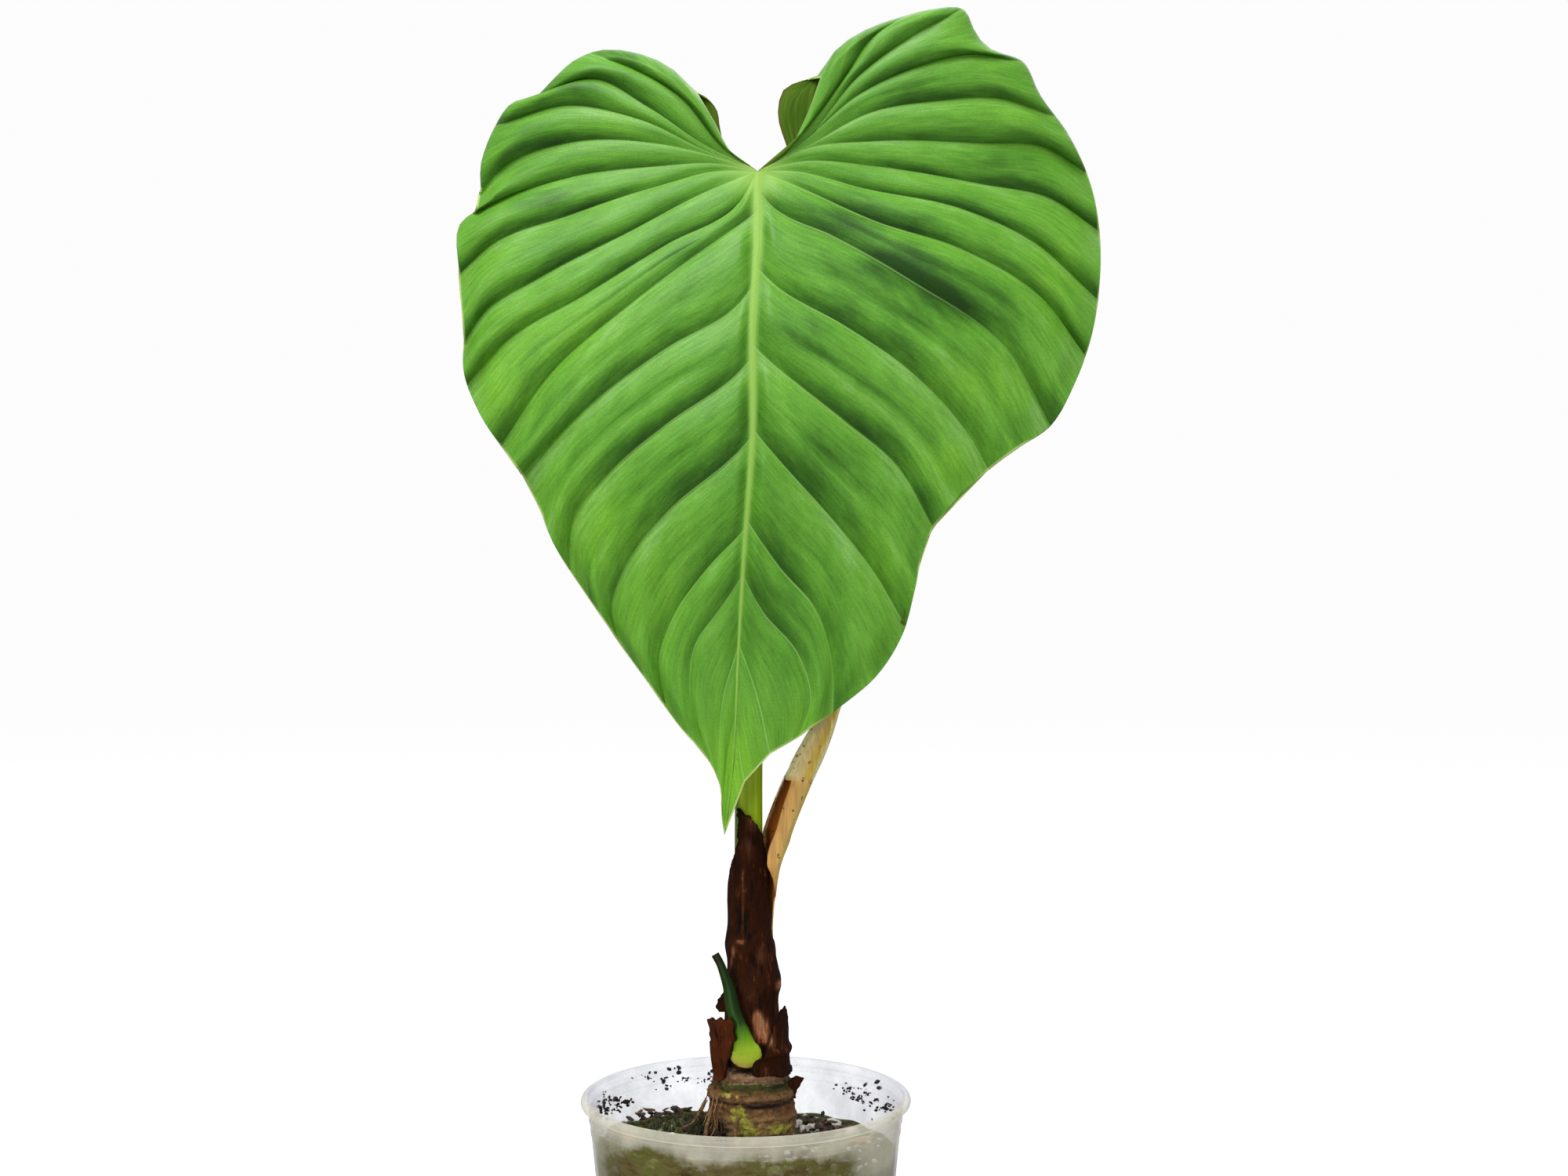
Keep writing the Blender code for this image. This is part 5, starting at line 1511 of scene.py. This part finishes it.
class PHILO_OT_dressing(bpy.types.Operator):
    """Strews crumbs, bark, pumice, dry bits and moss on the mix, and dirt on the pot's wall"""

    bl_idname = "philo.dressing"
    bl_label = "Top dressing"

    def execute(self, context):
        settings = context.scene.philo_mix
        bark = speckled(
            "Bark crumbs, rough", 500.0, ((0.3, "#120c07"), (0.55, "#33210f"), (0.85, "#6a4526")), 0.8,
            0.0006,
        )
        pumice = speckled(
            "Pumice, porous", 420.0, ((0.25, "#8d8a7c"), (0.5, "#d9d7cc"), (0.7, "#f1f0ea")), 0.9, 0.0008
        )

        def crumb(random):
            x, y, z = on_mix(random)
            return (
                x, y, z + 0.2, random.uniform(0.6, 1.9), random.uniform(-0.2, 0.25),
                random.uniform(0.3, 0.7),
            )

        piece = scattered("mix_crumbs", settings.crumbs, 91, crumb)
        finish_piece(piece, bark, "bark")

        def fibre(random):
            turn, away = math.radians(random.uniform(150, 260)), random.uniform(0, 1)
            x, y = STEM_AXIS[0] + (18 + 9 * away) * math.cos(turn), (18 + 9 * away) * math.sin(turn)
            z = mix_height(x, y) + (1 - away) * random.uniform(0, 5.5)
            return x, y, z, random.uniform(0.7, 2.2), random.uniform(-0.25, 0.1), 0.25

        piece = scattered("mix_fibres", 420, 94, fibre)
        finish_piece(piece, bark, "bark")

        def debris(random):
            turn, away = (152, 10), random.uniform(30, 50)
            if random.random() < 0.35:
                turn, away = (27, 7), random.uniform(30, 42)
            turn = math.radians(random.normal(*turn))
            x, y = away * math.cos(turn), away * math.sin(turn)
            return (
                x, y, mix_height(x, y) + random.uniform(0.5, 6.5), random.uniform(0.8, 2.8),
                random.uniform(-0.15, 0.25), 0.25,
            )

        piece = scattered("leaf_debris", 120, 95, debris)
        finish_piece(piece, bark, "bark")

        def grit(random):
            x, y, z = on_mix(random)
            if x < 5 and random.random() < 0.96:
                return None
            return x, y, z + 0.3, random.uniform(0.6, 2.0), 0.0, random.uniform(0.5, 0.9)

        piece = scattered("pumice_grit", 260, 92, grit)
        finish_piece(piece, pumice, "pumice")

        clusters = [cluster for cluster in WALL_DIRT for _ in range(cluster[4])]

        def speck(random):
            middle, height, reach, rise, _ = clusters.pop()
            turn = math.radians(random.normal(middle, reach))
            z = min(random.normal(height, rise), 114.0)
            r = wall_radius(z) + 0.2 - WALL - 0.35
            return (
                r * math.cos(turn), r * math.sin(turn), z,
                random.uniform(0.3, 1.0) * random.choice([1, 1, 1.6]), random.uniform(-0.25, 0.0), 0.6,
            )

        piece = scattered("wall_specks", len(clusters), 93, speck)
        finish_piece(piece, bark, "bark")
        self.stones(pumice, bark)
        self.moss(settings.moss_shoots)
        return {"FINISHED"}

    @staticmethod
    def stones(pumice, bark):
        """Rough stones, chips and flakes, each in the space of its CAD solid."""
        dry = speckled(
            "Dry leaf flakes, brittle", 300.0, ((0.3, "#5a2e12"), (0.5, "#b06a34"), (0.75, "#d9a878")),
            0.7, 0.0004,
        )
        kinds = (("pumice", 6, pumice, 0.28), ("bark", 4, bark, 0.3))
        names = [(f"{kind}_{k + 1}", skin, rough, kind) for kind, n, skin, rough in kinds for k in range(n)]
        names += [
            (name, dry, 0.2, "dry_bit")
            for name in ("dry_flake_orange", "dry_chip_yellow", "dry_leaf_scrap")
        ]
        for seed, (name, skin, rough, slot) in enumerate(names):
            low, high = (np.array(corner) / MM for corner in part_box(name))
            random = np.random.default_rng(300 + seed)
            piece = primitive("ico_sphere", name + "_skin", subdivisions=5, radius=1)

            def carve(places, low=low, high=high, rough=rough, seed=seed, random=random):
                unit = places * MM
                cuts = random.normal(size=(9, 3))
                cuts /= np.linalg.norm(cuts, axis=1)[:, None]
                for cut in cuts:
                    over = np.maximum(unit @ cut - 0.72, 0)
                    unit = unit - over[:, None] * cut
                fine = wander(unit[:, 0] * 5 + unit[:, 2] * 3, unit[:, 1] * 5 - unit[:, 2] * 2, 400 + seed)
                unit = unit * (1 + 0.12 * rough / 0.3 * fine)[:, None]
                unit /= np.abs(unit).max(axis=0)
                return (low + high) / 2 + unit * (high - low) / 2

            moved_verts(piece, carve)
            set_fact(piece, "tone", np.zeros(len(piece.data.vertices)))
            finish_piece(piece, skin, slot, name)

    @staticmethod
    def moss(shoots):
        """Cushions of short pointed shoots, dark below with yellow-green tips."""
        material, tree = new_material("Moss, living shoots")
        at = maths(tree, "ADD", read_fact(tree, "tip"), read_fact(tree, "tone"))
        green = ramp(tree, at, ((0.0, "#0d0f05"), (0.5, "#232a0b"), (0.85, "#4a560f"), (1.15, "#96a02a")))
        material = dressed(material, {"Base Color": green, "Roughness": 0.7})
        cushions = [
            (name, *(np.array(corner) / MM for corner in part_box(name)))
            for name in ("moss_front", "moss_left", "moss_back")
        ]
        cushions.append(("", np.array((-46, -23, 98)), np.array((-12, 21, 108))))
        for seed, (name, low, high) in enumerate(cushions):
            middle, half = (low + high) / 2, (high - low) / 2
            random = np.random.default_rng(500 + seed)
            points, faces, tips, tones = [], [], [], []
            for _ in range(shoots):
                turn, away = random.uniform(0, 2 * np.pi), math.sqrt(random.random())
                x = middle[0] + half[0] * away * math.cos(turn)
                y = middle[1] + half[1] * away * math.sin(turn)
                top = middle[2] + (half[2] - 0.4) * math.sqrt(1 - 0.85 * away**2)
                if not name:
                    top = mix_height(x, y) + 2.2 + 4.0 * smooth_step(x, -26, -14)
                    if math.hypot(x - STEM_AXIS[0], y) < 18:
                        continue
                lean = random.normal(0, 0.7, 2) + 0.8 * away * np.array([math.cos(turn), math.sin(turn)])
                foot = max(low[2], top - random.uniform(2.0, 3.4))
                base = len(points)
                wide = random.uniform(0.22, 0.42)
                for k in range(3):
                    spin = turn + 2 * np.pi * k / 3
                    points.append((x + wide * math.cos(spin), y + wide * math.sin(spin), foot))
                    tips.append(0.0)
                points.append((x + lean[0], y + lean[1], top + random.uniform(-0.4, 0.4)))
                tips.append(1.0)
                tones += [random.uniform(-0.25, 0.12)] * 4
                faces += [
                    (base, base + 1, base + 3), (base + 1, base + 2, base + 3),
                    (base + 2, base, base + 3),
                ]
                faces.append((base + 2, base + 1, base))
            piece = new_piece((name or "moss_mound") + "_skin", points, faces, tip=tips, tone=tones)
            finish_piece(piece, material, "moss", *([name] if name else []))


# ---------------------------------------------------------------- stage


class PHILO_OT_stage(bpy.types.Operator):
    """Sets the pale floor, the soft studio light and the camera"""

    bl_idname = "philo.stage"
    bl_label = "Stage"

    def execute(self, context):
        settings = context.scene.philo_stage
        scene = context.scene
        material, tree = new_material("Studio floor, lit white sheet")
        seen = add_node(tree, "LightPath").outputs["Is Camera Ray"]
        sheet = {
            "Base Color": linear("#a8a8a8"), "Roughness": 0.9, "Specular IOR Level": 0.0,
            "Emission Color": (1, 1, 1, 1), "Emission Strength": maths(tree, "MULTIPLY", seen, 0.78),
        }
        floor = primitive("plane", "studio_floor", size=40.0)
        floor.data.materials.append(dressed(material, sheet))
        world = bpy.data.worlds.new("Studio")
        world.use_nodes = True
        sky = world.node_tree
        seen = add_node(sky, "LightPath").outputs["Is Camera Ray"]
        strength = ranged(sky, seen, 0.0, 1.0, 0.5, 0.975)
        sky.links.new(strength, sky.nodes["Background"].inputs["Strength"])
        sky.nodes["Background"].inputs["Color"].default_value = (1, 1, 1, 1)
        scene.world = world
        scene.view_settings.view_transform = "Standard"
        self.lamp("key", (-0.35, -0.8, 1.75), (0, 0, 0.32), 0.9, 24.0)
        self.lamp("fill", (0.9, -1.6, 0.5), (0, 0, 0.3), 1.6, 3.6)
        self.lamp("back", (0.4, 1.6, 1.4), (0, 0, 0.3), 1.4, 10.0)
        spot = bpy.data.lights.new("low", "SPOT")
        spot.energy = 52.0
        spot.shadow_soft_size = 0.12
        spot.spot_size = math.radians(10.5)
        spot.spot_blend = 0.4
        holder = bpy.data.objects.new("low", spot)
        scene.collection.objects.link(holder)
        holder.location = (-0.3, -1.2, 0.16)
        holder.rotation_euler = (math.radians(88), 0, -math.atan2(0.3, 1.2))
        camera = bpy.data.objects.new("camera", bpy.data.cameras.new("camera"))
        scene.collection.objects.link(camera)
        camera.data.lens = settings.lens
        camera.data.sensor_width = 36.0
        camera.location = settings.eye
        camera.rotation_euler = (math.pi / 2, 0, 0)
        camera.data.clip_start = 0.01
        scene.camera = camera
        return {"FINISHED"}

    @staticmethod
    def lamp(name, place, aim, size, power):
        """A square soft box aimed at a point."""
        light = bpy.data.lights.new(name, "AREA")
        light.size = size
        light.energy = power
        holder = bpy.data.objects.new(name, light)
        bpy.context.scene.collection.objects.link(holder)
        holder.location = place
        direction = np.array(aim) - np.array(place)
        flat = math.hypot(direction[0], direction[1])
        holder.rotation_euler = (
            math.pi / 2 + math.atan2(direction[2], flat), 0,
            math.atan2(direction[1], direction[0]) - math.pi / 2,
        )


OPERATORS = (
    PHILO_OT_stage, PHILO_OT_pot, PHILO_OT_mix, PHILO_OT_dressing, PHILO_OT_stem, PHILO_OT_roots,
    PHILO_OT_stub, PHILO_OT_petiole, PHILO_OT_sheaths, PHILO_OT_leaf,
)
SETTINGS = {
    "philo_leaf": PHILO_PG_leaf, "philo_pot": PHILO_PG_pot, "philo_mix": PHILO_PG_mix,
    "philo_stage": PHILO_PG_stage,
}


class PHILO_PT_panel(bpy.types.Panel):
    """Lists the pieces of the plant and its settings"""

    bl_idname = "PHILO_PT_panel"
    bl_label = "Potted Philodendron"
    bl_space_type = "VIEW_3D"
    bl_region_type = "UI"
    bl_category = "Philodendron"

    def draw(self, context):
        for name, group in SETTINGS.items():
            for prop in group.__annotations__:
                self.layout.prop(getattr(context.scene, name), prop)
        for operator in OPERATORS:
            self.layout.operator(operator.bl_idname)


def register():
    for name, group in SETTINGS.items():
        bpy.utils.register_class(group)
        setattr(bpy.types.Scene, name, bpy.props.PointerProperty(type=group))
    for cls in (*OPERATORS, PHILO_PT_panel):
        bpy.utils.register_class(cls)


def unregister():
    for cls in (PHILO_PT_panel, *OPERATORS[::-1]):
        bpy.utils.unregister_class(cls)
    for name, group in SETTINGS.items():
        delattr(bpy.types.Scene, name)
        bpy.utils.unregister_class(group)


def main():
    register()
    for operator in OPERATORS:
        group, name = operator.bl_idname.split(".")
        getattr(getattr(bpy.ops, group), name)()


if __name__ == "__main__":
    main()
